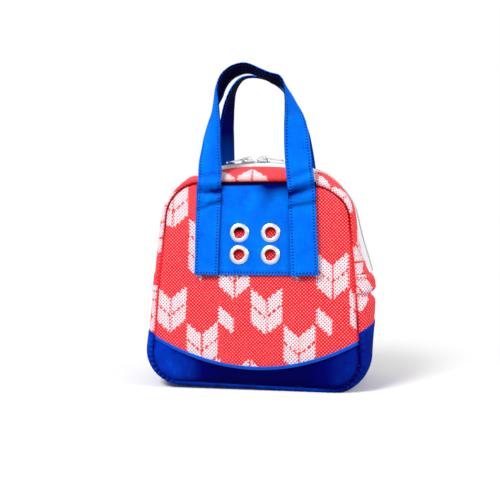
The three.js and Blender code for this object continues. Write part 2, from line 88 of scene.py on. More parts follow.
back = Vector((
    math.sin(CAMERA_TURN) * math.cos(CAMERA_RISE),
    -math.cos(CAMERA_TURN) * math.cos(CAMERA_RISE),
    math.sin(CAMERA_RISE),
))
right = Vector((math.cos(CAMERA_TURN), math.sin(CAMERA_TURN), 0))
lens = bpy.data.cameras.new("photo_camera")
lens.sensor_width = SENSOR_WIDTH
lens.lens = FOCAL_PIXELS / PHOTO_WIDTH * SENSOR_WIDTH
lens.clip_start = NEAR_CLIP
camera = bpy.data.objects.new("photo_camera", lens)
bpy.context.scene.collection.objects.link(camera)
target = right * CAMERA_TARGET_RIGHT + Vector((0, 0, CAMERA_TARGET_HEIGHT))
camera.matrix_world = Matrix.Translation(target + back * CAMERA_DISTANCE) @ (
    back.to_track_quat("Z", "Y").to_matrix().to_4x4())
bpy.context.scene.camera = camera
print("The lens is", round(lens.lens, 1), "mm")

# %% [markdown]
# The bag's size is written down once, in a maker's terms. The faces are rounded trapezoids that
# lean back a little, and the gusset is widest at the base. Everything below is cut from these.

# %% Sizes of the body
PANEL_BASE_WIDTH = 213 * MM
PANEL_TOP_WIDTH = 184 * MM
PANEL_HEIGHT = 205.5 * MM
TOP_CORNER_RADIUS = 36 * MM
BASE_CORNER_RADIUS = 28 * MM
BASE_DEPTH = 100 * MM
TOP_DEPTH = 66 * MM
SEAM_LIFT = 6 * MM
SEAM_GAP = 0.4 * MM
CLOTH_THICKNESS = 2 * MM
GAP = 0.3 * MM
TOP_BULGE = 25.5 * MM
TOP_ARC_RADIUS = 250 * MM
SIDE_BULGE = 11 * MM
BASE_BULGE = 8 * MM
BULGE_SETTLE_LENGTH = 80 * MM
ROLL_ROUNDNESS = 2.3
ZIP_END_HEIGHT = 111 * MM
END_TAB_HEIGHT = 24 * MM
TAB_TUCK = 5 * MM
BAND_SIDE_HEIGHT = 46.5 * MM
BAND_MIDDLE_HEIGHT = 18 * MM

# The two faces and the two sides of the bag, each with its sign and the name its pieces carry
FACINGS = ((1, "front"), (-1, "back"))
SIDES = ((-1, "left"), (1, "right"))

UP = math.pi / 2
wall_lean = math.asin((BASE_DEPTH - TOP_DEPTH) / 2 / PANEL_HEIGHT)
side_lean = math.atan((PANEL_BASE_WIDTH - PANEL_TOP_WIDTH) / 2 / PANEL_HEIGHT)
top_tangent = TOP_CORNER_RADIUS * math.tan((UP - side_lean) / 2)
base_tangent = BASE_CORNER_RADIUS * math.tan((UP + side_lean) / 2)
top_flat = PANEL_TOP_WIDTH / 2 - top_tangent
base_flat = PANEL_BASE_WIDTH / 2 - base_tangent
side_length = PANEL_HEIGHT / math.cos(side_lean) - top_tangent - base_tangent
print("The faces lean", round(math.degrees(wall_lean), 1), "degrees")

# %% [markdown]
# The seam between face and gusset is one closed line. It is followed by its own length, starting
# at the middle of the top, because cloth is measured along a seam: the gusset is cut to the same
# length. Each stretch of the line is straight or an arc. Beyond the CAD outline, the sides ease out
# a little at mid height and the base sags more on the right than on the left, as in the photograph.
# Two helpers shape such changes: a ramp from 0 to 1, and a hump that rises to 1 and falls again.

# %% The seam line
SIDE_EASE = 1.5 * MM
SIDE_EASE_HEIGHT = 100 * MM
SIDE_EASE_SPREAD = 48 * MM
BASE_TILT = 1.9 * MM
BASE_TILT_AT = 76 * MM
BASE_TILT_HEIGHT = 42 * MM

arc_top = Vector((top_flat, PANEL_HEIGHT - TOP_CORNER_RADIUS))
arc_base = Vector((base_flat, BASE_CORNER_RADIUS))
side_normal = Vector((math.cos(side_lean), math.sin(side_lean)))
side_top = arc_top + side_normal * TOP_CORNER_RADIUS
run_lengths = [
    top_flat,
    TOP_CORNER_RADIUS * (UP - side_lean),
    side_length,
    BASE_CORNER_RADIUS * (side_lean + UP),
    base_flat,
]
corner_end = run_lengths[0] + run_lengths[1]
side_end = corner_end + run_lengths[2]
foot_end = side_end + run_lengths[3]
half_loop = foot_end + run_lengths[4]


def smooth(share):
    """0 below a share of 0, 1 above a share of 1, and an S-shaped rise between them."""
    t = min(max(share, 0), 1)
    return t * t * (3 - 2 * t)


def ramp(value, start, reach):
    """0 below start, 1 above start plus reach, and smooth between them."""
    return smooth((value - start) / reach)


def hump(value, middle, reach):
    """1 at the middle, falling away on both sides of it."""
    return math.exp(-((value - middle) / reach) ** 2)


def wrapped(length):
    """The same place on the seam, from minus half the loop to plus half of it."""
    turn = 2 * half_loop
    return length - turn * round(length / turn)


def outline(length):
    """The right half of the seam in the plane of a face: its place and its outward normal."""
    if length <= top_flat:
        return Vector((length, PANEL_HEIGHT)), Vector((0, 1))
    if length <= corner_end:
        angle = UP - (length - top_flat) / TOP_CORNER_RADIUS
        normal = Vector((math.cos(angle), math.sin(angle)))
        return arc_top + normal * TOP_CORNER_RADIUS, normal
    if length <= side_end:
        down = length - corner_end
        place = side_top + Vector((side_normal.y, -side_normal.x)) * down
        return place, side_normal
    if length <= foot_end:
        angle = side_lean - (length - side_end) / BASE_CORNER_RADIUS
        normal = Vector((math.cos(angle), math.sin(angle)))
        return arc_base + normal * BASE_CORNER_RADIUS, normal
    return Vector((foot_end + base_flat - length, 0)), Vector((0, -1))


def seam_point(length):
    """Across, up the slope, and the outward normal of the seam at a length along it."""
    signed = wrapped(length)
    place, normal = outline(min(abs(signed), half_loop))
    ease = SIDE_EASE * hump(place.y, SIDE_EASE_HEIGHT, SIDE_EASE_SPREAD)
    place = place + normal * ease * abs(normal.x)
    side = -1 if signed < 0 else 1
    return side * place.x, place.y, side * normal.x, normal.y


def length_at(height):
    """The seam's length down to a height on its straight side."""
    return corner_end + (side_top.y - height) / math.cos(side_lean)


zip_end = length_at(ZIP_END_HEIGHT)
tab_end = length_at(ZIP_END_HEIGHT - END_TAB_HEIGHT + TAB_TUCK)
band_side = length_at(BAND_SIDE_HEIGHT)
print("The seam is", round(2 * half_loop / MM), "mm round")

# %% [markdown]
# A face of the bag isn't flat. Its cloth crowns a few millimetres over the lining, dives into the
# seam at its edge, and keeps soft hollows and slanting drags from being handled. On the front, the
# right shoulder has sunk, so its seam lies further in. One function gives how far the cloth stands
# out at any place, so that the patch, the band and the straps can lie on the same shape. Cloth
# simulation could make such a shape, but then the pieces on top would have to be fitted to it.

# %% The shape of a face
CROWN = 3.2 * MM
CROWN_REACH = 30 * MM
SEAM_DIVE = 1.5 * MM
SEAM_DIVE_REACH = 2.4 * MM
HOLLOW = 1.0 * MM
HOLLOW_WIDTH = 58 * MM
HOLLOW_HEIGHT = 40 * MM
HOLLOW_SEED = 3.7
HOLLOW_EASE = 12 * MM
DRAG = 0.7 * MM
DRAG_LENGTH = 95 * MM
DRAG_WIDTH = 17 * MM
DRAG_SEED = 8.1
DRAG_HEIGHT = 70 * MM
SHOULDER_SINK = 4.9 * MM
SHOULDER_SINK_FADE = 14 * MM
# Along the seam from the middle of the top: where the change starts, and how far it takes
SHOULDER_SINK_GROWS = (44 * MM, 16 * MM)
SHOULDER_SINK_ENDS = (78 * MM, 38 * MM)


def shoulder_sink(length):
    """How far the front seam has sunk towards the face on the worn right shoulder."""
    grown = ramp(length, *SHOULDER_SINK_GROWS)
    return SHOULDER_SINK * grown * (1 - ramp(length, *SHOULDER_SINK_ENDS))


def shoulder_length(x, s):
    """About how far along the seam the nearest place of the right shoulder is."""
    corner = Vector((x, s)) - arc_top
    if corner.x <= 0:
        return x
    return top_flat + TOP_CORNER_RADIUS * (UP - math.atan2(corner.y, corner.x))


def inset(x, s):
    """How far a place on a face is from its seam."""
    across = abs(x)
    corner = Vector((across, s)) - arc_top
    if corner.length > 0 and side_lean <= math.atan2(corner.y, corner.x) <= UP:
        return TOP_CORNER_RADIUS - corner.length
    foot = Vector((across, s)) - arc_base
    if foot.length > 0 and -UP <= math.atan2(foot.y, foot.x) <= side_lean:
        return BASE_CORNER_RADIUS - foot.length
    side = (side_top - Vector((across, s))).dot(side_normal)
    return min(side, PANEL_HEIGHT - s, s)


def seam_dive(distance):
    """How deep the cloth dives at a distance from its seam."""
    return SEAM_DIVE * math.exp(-max(distance, 0) / SEAM_DIVE_REACH)


def seam_inset(facing, x, s):
    """How far a place on a face is from its seam as worn."""
    distance = inset(x, s)
    if facing < 0 or x <= 0:
        return distance
    fade = hump(max(distance, 0), 0, SHOULDER_SINK_FADE)
    return distance - shoulder_sink(shoulder_length(x, s)) * fade


def stands_out(facing, x, s):
    """How far a face's cloth stands out of its plane."""
    distance = max(seam_inset(facing, x, s), 0)
    crown = CROWN * (1 - math.exp(-distance / CROWN_REACH))
    place = Vector((x / HOLLOW_WIDTH, s / HOLLOW_HEIGHT, HOLLOW_SEED * facing))
    inside = 1 - math.exp(-distance / HOLLOW_EASE)
    hollow = HOLLOW * noise.noise(place) * inside
    slanted = Vector(((x + s) / DRAG_LENGTH, (x - s) / DRAG_WIDTH, DRAG_SEED * facing))
    drag = DRAG * noise.noise(slanted) * hump(s, 0, DRAG_HEIGHT) * inside
    return crown + hollow + drag - seam_dive(distance)


def base_tilt(x, s):
    """How far the base is lifted on the left and dropped on the right."""
    return -BASE_TILT * x / BASE_TILT_AT * math.exp(-max(s, 0) / BASE_TILT_HEIGHT)


def turned(facing, place):
    """The back half is the front half turned about the bag's upright axis."""
    return place if facing > 0 else Vector((-place.x, -place.y, place.z))


def wall_point(facing, x, s, out):
    """A place on a face: across as seen from its own side, up its slope, and out of it."""
    y = -BASE_DEPTH / 2 + s * math.sin(wall_lean) - out * math.cos(wall_lean)
    z = SEAM_LIFT + s * math.cos(wall_lean) + out * math.sin(wall_lean)
    return turned(facing, Vector((x, y, z + base_tilt(facing * x, s))))


print("A face stands out", round(stands_out(1, 0, 100 * MM) / MM, 1), "mm in its middle")

# %% [markdown]
# The gusset rolls out past the seam all round. Over the top the roll is deepest, and under the
# base the floor presses it flat. The worn bag departs from its pattern: its shoulders are slack,
# the zip stands up from the cloth beside it, and the right side is fuller, but for a notch where
# the end tab's fold draws it in.

# %% How far the gusset rolls
SHOULDER_SLACK = 5.2 * MM
SHOULDER_SPREAD = 27 * MM
TOP_SETTLE = 1.2 * MM
ZIP_LIFT = 0.9 * MM
ZIP_RIDGE = 6.5 * MM
ZIP_RIDGE_TOP_SHARE = 0.5
ZIP_RIDGE_SIDE_SHARE = 0.7
ZIP_SLACK_END = 10 * MM
# Where a change starts along the seam, and how far it takes
TOP_SETTLE_ENDS = (40 * MM, 30 * MM)
ZIP_RIDGE_TOP_ENDS = (46 * MM, 26 * MM)
ZIP_RIDGE_SIDE_GROWS = (100 * MM, 50 * MM)
ZIP_RIDGE_SIDE_ENDS = (-8 * MM, 18 * MM)
RIGHT_SWELL = 10.5 * MM
RIGHT_SWELL_HEIGHT = 95 * MM
RIGHT_SWELL_ABOVE = 46 * MM
RIGHT_SWELL_BELOW = 62 * MM
LEFT_SWELL = 2.6 * MM
LEFT_SWELL_HEIGHT = 34 * MM
LEFT_SWELL_REACH = 22 * MM
TAB_NOTCH = 5.2 * MM
TAB_NOTCH_HEIGHT = 90 * MM
TAB_NOTCH_REACH = 4.2 * MM


def arc_drop(length):
    """How far the top's long arc has dropped at a length from its middle."""
    return TOP_ARC_RADIUS - math.sqrt(TOP_ARC_RADIUS ** 2 - length ** 2)


def zip_proud(length):
    """How far the zip stands over the slack cloth: on the top, and most down the right side."""
    signed = wrapped(length)
    top = ZIP_RIDGE_TOP_SHARE * (1 - ramp(abs(signed), *ZIP_RIDGE_TOP_ENDS))
    side = ZIP_RIDGE_SIDE_SHARE * ramp(signed, *ZIP_RIDGE_SIDE_GROWS)
    side *= 1 - ramp(signed - zip_end, *ZIP_RIDGE_SIDE_ENDS)
    return ZIP_LIFT + ZIP_RIDGE * (top + side)


def settled(length):
    """How the worn bag departs from its pattern: slack shoulders and a fuller right side."""
    signed = wrapped(length)
    s = seam_point(signed)[1]
    slack = SHOULDER_SLACK * hump(abs(signed), (top_flat + corner_end) / 2, SHOULDER_SPREAD)
    slack += zip_proud(signed) * (1 - ramp(abs(signed), zip_end, ZIP_SLACK_END))
    slack += TOP_SETTLE * (1 - ramp(abs(signed), *TOP_SETTLE_ENDS))
    if signed < 0:
        return LEFT_SWELL * hump(s, LEFT_SWELL_HEIGHT, LEFT_SWELL_REACH) - slack
    reach = RIGHT_SWELL_ABOVE if s > RIGHT_SWELL_HEIGHT else RIGHT_SWELL_BELOW
    swell = RIGHT_SWELL * hump(s, RIGHT_SWELL_HEIGHT, reach)
    notch = TAB_NOTCH * hump(s, TAB_NOTCH_HEIGHT, TAB_NOTCH_REACH)
    return (swell - notch) * smooth(signed / corner_end) - slack


def bulge(length):
    """How far the gusset rolls past the seam."""
    return pattern_bulge(abs(wrapped(length))) + settled(length)


def pattern_bulge(along):
    """How far the gusset was cut to roll, before it settled."""
    if along <= top_flat:
        return TOP_BULGE - arc_drop(along)
    shoulder = TOP_BULGE - arc_drop(top_flat)
    slope = top_flat / math.sqrt(TOP_ARC_RADIUS ** 2 - top_flat ** 2)
    t = min((along - top_flat) / BULGE_SETTLE_LENGTH, 1)
    eased = shoulder + (SIDE_BULGE - shoulder) * smooth(t)
    side = eased - slope * BULGE_SETTLE_LENGTH * t * (1 - t) ** 2
    low = smooth((along - side_end) / (foot_end - side_end))
    return side + (BASE_BULGE - side) * low


print("The gusset rolls", round(bulge(0) / MM, 1), "mm past the top seam")

# %% [markdown]
# Across its width the gusset is a soft superellipse: it leaves the seam steeply and runs nearly
# flat over the zip. Puckers are drawn in where a long edge is eased into a short one, strongest at
# the lower left corner. A subdivided cage could give the same roll, but a formula keeps every place
# on it known, so that the zip, the tabs and the seams can be laid there.

# %% The shape of the gusset
PUCKER = 0.45 * MM
PUCKER_PITCH = 6.3 * MM
CORNER_PUCKER = 2.4 * MM
CORNER_PUCKER_PITCH = 4.8 * MM
PUCKER_REACH = 8 * MM
PUCKER_EASE = 1.5 * MM
PUCKER_WANDER_LENGTH = 23 * MM
PUCKER_WANDER = 4
CORNER_PUCKER_WANDER = 3
# How strongly a base corner is puckered, then its middle and reach across, and both up the face
CORNER_PULLS = (
    (1, -92 * MM, 17 * MM, 17 * MM, 20 * MM),
    (0.35, 92 * MM, 15 * MM, 12 * MM, 14 * MM),
)
BACK_PULL_SHARE = 0.5
GUSSET_HOLLOW = 0.9 * MM
GUSSET_HOLLOW_LENGTH = 55 * MM
GUSSET_HOLLOWS_ACROSS = 3.1
GUSSET_HOLLOW_SEED = 1.3
GUSSET_HOLLOW_EASE = 9 * MM


def half_depth(s):
    """Half the bag's depth at a height up the slope of its faces."""
    return BASE_DEPTH / 2 - s * math.sin(wall_lean)


def corner_pull(x, s):
    """How strongly the cloth is puckered: most at the lower left corner of the front."""
    return sum(
        strength * hump(x, x_middle, x_reach) * hump(s, s_middle, s_reach)
        for strength, x_middle, x_reach, s_middle, s_reach in CORNER_PULLS)


def pucker_wander(length, edge):
    """How the puckers stray from their even beat. The edge is 1 at the front seam, -1 at the back."""
    return noise.noise(Vector((length / PUCKER_WANDER_LENGTH, edge * 5.0, 0)))


def pucker_wave(length, edge):
    """A corner's puckers, from -1 in a valley to 1 on a ridge."""
    beat = 2 * math.pi * length / CORNER_PUCKER_PITCH
    return math.sin(beat + CORNER_PUCKER_WANDER * pucker_wander(length, edge))


def roll_section(across):
    """A place across the gusset in its round section: 1 to -1 from front to back, and 0 to 1 out."""
    lateral = math.cos(math.pi * across)
    return lateral, (1 - abs(lateral) ** ROLL_ROUNDNESS) ** (1 / ROLL_ROUNDNESS)


def gusset_point(length, across, depth):
    """A place on the gusset, from 0 at the front seam to 1 at the back one, under its face."""
    x, s, nx, ns = seam_point(length)
    lateral, profile = roll_section(across)
    roll = bulge(length)
    reach = half_depth(s)
    from_seam = roll * profile + reach * (1 - abs(lateral))
    near = hump(from_seam, 0, PUCKER_REACH) * (1 - math.exp(-from_seam / PUCKER_EASE))
    edge = 1 if lateral > 0 else -1
    beat = 2 * math.pi * length / PUCKER_PITCH
    pucker = PUCKER * math.sin(beat + PUCKER_WANDER * pucker_wander(length, edge))
    pull = corner_pull(x, s) if edge > 0 else BACK_PULL_SHARE * corner_pull(-x, s)
    pucker += CORNER_PUCKER * pull * pucker_wave(length, edge)
    place = Vector((
        length / GUSSET_HOLLOW_LENGTH, across * GUSSET_HOLLOWS_ACROSS, GUSSET_HOLLOW_SEED))
    inward = 1 - math.exp(-from_seam / GUSSET_HOLLOW_EASE)
    hollow = GUSSET_HOLLOW * noise.noise(place) * inward
    under = depth + seam_dive(from_seam) - pucker * near - hollow
    sunk = shoulder_sink(wrapped(length)) * max(lateral, 0) ** 4
    out = SEAM_GAP + (roll - under) * profile - sunk
    y = -(reach - under) * lateral if abs(lateral) > 1e-6 else 0
    z = SEAM_LIFT + s * math.cos(wall_lean) + ns * out + base_tilt(x, s)
    lowest = max(depth, 0)
    return Vector((x + nx * out, y, max(z, lowest)))


def line_across(offset, length):
    """How far across the gusset a line parallel to the zip lies, on the front half."""
    return math.acos(offset / half_depth(seam_point(length)[1])) / math.pi


print("The top is", round(2 * half_depth(PANEL_HEIGHT) / MM, 1), "mm deep between its seams")

# %% [markdown]
# Every cloth piece is made the same way. A function gives a point for a place along and across the
# piece and for a depth under its face. The sheet is walked over that function twice, for the face
# and the back, and both meet in a round edge, because folded cloth has no sharp corner. The lengths
# walked are kept as a UV map in metres, so a weave keeps its true scale on every piece. A Solidify
# modifier would also give thickness, but with square edges. Each place also carries a number named
# Shade: 0 in the open, 1 deep in a fold or a seam, and more where no light comes. The finishes darken
# the colour by it as painted shade, because narrow folds are darker than soft lamps leave them.

# %% Sheets of cloth
EDGE_SHARES = (0.0, 0.06, 0.2, 0.5)
WELD_DISTANCE = 0.001 * MM


def spread(start, end, steps, edge=0.0):
    """Evenly spaced places from start to end, with close ones for a round edge at both ends."""
    sign = 1 if end > start else -1
    length = abs(end - start)
    inside = [length * step / steps for step in range(steps + 1)]
    if edge:
        close = [edge * share for share in EDGE_SHARES]
        inside = [place for place in inside if edge < place < length - edge]
        inside = close + inside + [length - place for place in reversed(close)]
    return [start + sign * place for place in inside]


def edge_dip(distance, thickness):
    """How deep the face lies near its edge, for a half-round edge."""
    radius = thickness / 2
    if distance >= radius:
        return 0.0
    return radius * (1 - math.sqrt(1 - (1 - distance / radius) ** 2))


def piece_from(name, build, finish):
    """A named object in the scene, from a built mesh and its finish."""
    mesh = bpy.data.meshes.new(name)
    build.to_mesh(mesh)
    build.free()
    mesh.materials.append(finish)
    made = bpy.data.objects.new(name, mesh)
    bpy.context.scene.collection.objects.link(made)
    return made


def edge_distances(places, scale, ends):
    """How far each place is from the nearest of the ends that have an edge."""
    return [min([abs(place - end) * scale for end in ends], default=1.0) for place in places]


def sheet(
        name, finish, point, us, vs, thickness, v_scale=1.0, closed=False, open_end=False,
        laid=None, dropped=None, shade=None):
    """A sheet of cloth from point(u, v, depth), with a face, a back and a round edge."""
    u_gaps = edge_distances(us, 1.0, [] if closed else [us[0], us[-1]])
    v_gaps = edge_distances(vs, v_scale, [vs[0]] if open_end else [vs[0], vs[-1]])
    build = bmesh.new()
    flat = build.loops.layers.uv.new("Cloth")
    deep = build.verts.layers.float.new("Shade")
    layers = []
    for under in (False, True):
        rows = []
        for u, u_gap in zip(us, u_gaps):
            row = []
            walked = 0.0
            for v, v_gap in zip(vs, v_gaps):
                dip = edge_dip(min(u_gap, v_gap), thickness)
                place = point(u, v, thickness - dip if under else dip)
                if row:
                    walked += (place - row[-1][0].co).length
                flat_place = laid(u, v) if laid else (u, walked)
                vert = build.verts.new(place)
                vert[deep] = shade(u, v, under) if shade else 0.0
                row.append((vert, flat_place))
            rows.append(row)
        layers.append(rows)
    for under, rows in enumerate(layers):
        for i in range(len(us) - 1):
            for j in range(len(vs) - 1):
                if dropped and dropped(us[i], us[i + 1], vs[j], vs[j + 1]):
                    continue
                ring = [rows[i][j], rows[i + 1][j], rows[i + 1][j + 1], rows[i][j + 1]]
                if under:
                    ring.reverse()
                face = build.faces.new([corner[0] for corner in ring])
                face.smooth = True
                for loop, corner in zip(face.loops, ring):
                    loop[flat].uv = corner[1]
    bmesh.ops.remove_doubles(build, verts=build.verts, dist=WELD_DISTANCE)
    bmesh.ops.recalc_face_normals(build, faces=build.faces)
    return piece_from(name, build, finish)


def tube(name, finish, points, radius, sides=6, shades=None):
    """A round wire along points, closed at both ends."""
    build = bmesh.new()
    flat = build.loops.layers.uv.new("Cloth")
    deep = build.verts.layers.float.new("Shade")
    rings = []
    lift = Vector((0, 0, 1))
    for i, point in enumerate(points):
        ahead = points[min(i + 1, len(points) - 1)] - points[max(i - 1, 0)]
        ahead.normalize()
        lift = (lift - ahead * lift.dot(ahead)).normalized()
        side = ahead.cross(lift)
        ring = []
        for k in range(sides):
            angle = 2 * math.pi * k / sides
            out = lift * math.cos(angle) + side * math.sin(angle)
            vert = build.verts.new(point + out * radius)
            vert[deep] = shades[i] if shades else 0.0
            ring.append(vert)
        rings.append(ring)
    for i in range(len(rings) - 1):
        for k in range(sides):
            after = (k + 1) % sides
            corners = (rings[i][k], rings[i + 1][k], rings[i + 1][after], rings[i][after])
            face = build.faces.new(corners)
            face.smooth = True
            for loop, (a, b) in zip(face.loops, ((0, 0), (1, 0), (1, 1), (0, 1))):
                loop[flat].uv = ((i + a) * radius, (k + b) * radius)
    build.faces.new(list(reversed(rings[0])))
    build.faces.new(rings[-1])
    return piece_from(name, build, finish)


def on_bag(piece, slot, *nodes):
    """The piece rides on the bag, and the CAD nodes it stands for are hidden. The slot is not used.
    """
    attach(piece, "bag")
    if nodes:
        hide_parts(*nodes)
    return piece


print("Sheets are ready")

# %% [markdown]
# A material in Blender is a network of nodes, and its maths is easier to read as Python. A Wire
# wraps one socket, and the usual operators on it add Math nodes.

# %% Wires


class Wire:
    """An output socket of a node, which Python's operators work on."""

    def __init__(self, network, socket):
        self.network = network
        self.socket = socket

    def other(self, output):
        """Another output of the same node, by its number or its name."""
        return Wire(self.network, self.socket.node.outputs[output])

    def math(self, operation, *values):
        return self.network.maths(operation, self, *values)

    def __add__(self, other):
        return self.math("ADD", other)

    def __radd__(self, other):
        return self.network.maths("ADD", other, self)

    def __sub__(self, other):
        return self.math("SUBTRACT", other)

    def __rsub__(self, other):
        return self.network.maths("SUBTRACT", other, self)

    def __mul__(self, other):
        return self.math("MULTIPLY", other)

    def __rmul__(self, other):
        return self.network.maths("MULTIPLY", other, self)

    def __truediv__(self, other):
        return self.math("DIVIDE", other)

    def __rtruediv__(self, other):
        return self.network.maths("DIVIDE", other, self)


print("Wires are ready")

# %% [markdown]
# Every node comes from one method, which sets the node's own settings before it feeds its sockets.
# Colours don't go through Math nodes, which would turn them grey, so they are mixed with a Mix
# node. A Finish is the network of one material, and the world round the bag has a network too.

# %% Finishes


class Network:
    """The nodes of a material or of the world, and the patterns that are built from them."""

    def __init__(self, tree):
        self.tree = tree

    def node(self, kind, settings=None, sockets=None, output=0):
        """Any node: its settings are set first, then the values or wires of its sockets."""
        made = self.tree.nodes.new(kind)
        for key, value in (settings or {}).items():
            setattr(made, key, value)
        for key, value in (sockets or {}).items():
            self.feed(made.inputs[key], value)
        return Wire(self, made.outputs[output])

    def feed(self, socket, value):
        """A socket gets a wire or a plain value."""
        if isinstance(value, Wire):
            self.tree.links.new(value.socket, socket)
        else:
            socket.default_value = value

    def maths(self, operation, *values):
        return self.node("ShaderNodeMath", {"operation": operation}, dict(enumerate(values)))

    def mix(self, mask, first, second):
        """first where mask is 0, second where it is 1, for colours."""
        settings = {"data_type": "RGBA", "clamp_factor": True}
        return self.node("ShaderNodeMix", settings, {0: mask, 6: first, 7: second}, 2)

    def step(self, value, low, high):
        """0 below low, 1 above high, and smooth between them."""
        settings = {"interpolation_type": "SMOOTHSTEP"}
        sockets = {0: value, 1: low, 2: high, 3: 0.0, 4: 1.0}
        return self.node("ShaderNodeMapRange", settings, sockets)

    def vector(self, x, y, z=0.0):
        return self.node("ShaderNodeCombineXYZ", None, {0: x, 1: y, 2: z})

    def clouds(self, vector, scale, detail=3.0, roughness=0.5):
        sockets = {"Vector": vector, "Scale": scale, "Detail": detail, "Roughness": roughness}
        return self.node("ShaderNodeTexNoise", None, sockets)

    def wave(self, value, pitch):
        """0 to 1 and back, once for each pitch."""
        return (value * (2 * math.pi / pitch)).math("SINE") * 0.5 + 0.5

    def bump(self, height, distance, strength=1.0):
        sockets = {"Height": height, "Distance": distance, "Strength": strength}
        return self.node("ShaderNodeBump", None, sockets)


class Finish(Network):
    """A material with one Principled shader."""

    def __init__(self, name):
        self.material = bpy.data.materials.new(name)
        self.material.use_nodes = True
        super().__init__(self.material.node_tree)
        self.shader = self.tree.nodes["Principled BSDF"]

    def cloth(self):
        """Millimetres across and along the cloth, from its UV map."""
        uv = self.node("ShaderNodeUVMap", {"uv_map": "Cloth"})
        parts = self.node("ShaderNodeSeparateXYZ", None, {0: uv})
        across = parts / MM
        along = parts.other(1) / MM
        return across, along

    def shade(self):
        """The painted shade kept on the mesh: 0 in the open, 1 deep in a fold or seam."""
        return self.node("ShaderNodeAttribute", {"attribute_name": "Shade"}, None, 2)

    def surface(self, **values):
        """Sets sockets of the Principled shader, named with _ for a space."""
        for key, value in values.items():
            self.feed(self.shader.inputs[key.replace("_", " ")], value)
        return self.material


def colour(red, green, blue):
    """A colour given as it is seen on a screen, 0 to 255, in the light's own numbers."""
    shares = [value / 255 for value in (red, green, blue)]
    linear = [v / 12.92 if v <= 0.04045 else ((v + 0.055) / 1.055) ** 2.4 for v in shares]
    return (*linear, 1)


print("Finishes are ready")

# %% [markdown]
# The woven cloth is a jacquard: two colours of yarn, and the loom brings one or the other to the
# face. The design here is a plain geometric repeat of chevrons made of slanted cells in columns.
# Each column is sheared up or down in turn, a row number is read from the sheared height, and a
# rule on the row and column numbers decides which cells are pale. Close up, the ground shows as
# small dots of the other yarn, on a slanting twill line, so both colours are broken by a fine weave.

# %% Jacquard
COLUMN = 16.5
SLANT = 13.8
CELL = 18.0
REPEAT = 6
PICK = 1.9
PICK_STAGGER = 0.6
DOT = 3.5
GRAIN = 1.7
PATCHES = 24
WANDER_SIZE = 30
WANDER_ACROSS = 1.8
WANDER_ALONG = 1.4
DESIGN_START = (400.3, 478.0)
LONE_REPEAT = 9.0
GUSSET_DROP = 7.0
DEEP_SHADE_LEVELS = (1.0, 1.6)
RED = colour(255, 22, 40)
DEEP_RED = colour(242, 0, 18)
JACQUARD_SHADE_RED = colour(206, 0, 16)
JACQUARD_DEEP_SHADE = colour(8, 0, 30)
PALE = colour(255, 245, 247)
PINK = colour(255, 168, 172)
ROSE = colour(206, 104, 128)


def woven_step(value, size):
    """The middle of the pick or the end that a place belongs to, so edges run in small steps."""
    return ((value / size).math("FLOOR") + 0.5) * size


def jacquard(name, drop=0.0):
    """Woven cloth. Its design can be dropped, so that two pieces differ."""
    finish = Finish(name)
    across, along = finish.cloth()
    wander = finish.clouds(finish.vector(across / WANDER_SIZE, along / WANDER_SIZE), 1.0)
    bent = across + (wander - 0.5) * WANDER_ACROSS
    risen = along + (wander - 0.5) * WANDER_ALONG
    x = woven_step(bent, PICK / 2) + DESIGN_START[0]
    y = woven_step(risen, PICK) + DESIGN_START[1] + drop
    x = x + (y / PICK).math("FLOORED_MODULO", 2.0).math("FLOOR") * PICK * PICK_STAGGER
    column = (x / COLUMN).math("FLOOR")
    share = x / COLUMN - column
    odd = column.math("FLOORED_MODULO", 2.0)
    slanted = y + SLANT * (share * (1 - odd) + (1 - share) * odd)
    row = (slanted / CELL).math("FLOOR")
    rise = slanted / CELL - row
    pair = (column / 2).math("FLOOR")
    turn = (row + pair * 2).math("FLOORED_MODULO", float(REPEAT))
    lone = (row * 2 + column * 3).math("FLOORED_MODULO", LONE_REPEAT)
    chevron = 1 - finish.step(turn, 1.4, 1.6)
    extra = 1 - finish.step(lone, 0.4, 0.6)
    pale = chevron.math("MAXIMUM", extra)
    side_line = 1 - finish.step(share * COLUMN, PICK * 0.84, PICK * 0.88)
    row_line = 1 - finish.step(rise * CELL, PICK * 0.98, PICK * 1.02)
    line = side_line.math("MAXIMUM", row_line)
    lattice = (finish.wave(across, DOT) - 0.5) * (finish.wave(along, DOT) - 0.5) * 4
    grain = finish.clouds(finish.vector(across / GRAIN, along / GRAIN), 1.0)
    fine = lattice + (grain - 0.5) * 1.3
    fleck_in_pale = finish.step(fine, 0.05, 0.5)
    fleck_in_red = finish.step(fine, 0.1, 0.75) * 0.85
    patchy = finish.clouds(finish.vector(across / PATCHES, along / PATCHES, 2.0), 1.0)
    red = finish.mix(patchy * 0.6, RED, DEEP_RED)
    ground = finish.mix(fleck_in_red, red, PINK)
    light = finish.mix(fleck_in_pale, PALE, ROSE)
    cells = finish.mix(pale * (1 - line), ground, light)
    # Painted shade from the mesh: deep red where Shade is 1, and near-black past it
    depth = finish.shade()
    cells = finish.mix(depth, cells, JACQUARD_SHADE_RED)
    cells = finish.mix(finish.step(depth, *DEEP_SHADE_LEVELS), cells, JACQUARD_DEEP_SHADE)
    height = lattice * 0.4 + grain * 0.3
    normal = finish.bump(height, 0.25 * MM, 0.7)
    rough = 0.78 + grain * 0.14
    return finish.surface(
        Base_Color=cells, Roughness=rough, Normal=normal, Specular_IOR_Level=0.08)


woven = jacquard("woven_jacquard")
woven_gusset = jacquard("woven_jacquard_gusset", GUSSET_DROP)
print("Jacquard repeats every", REPEAT * CELL, "mm")
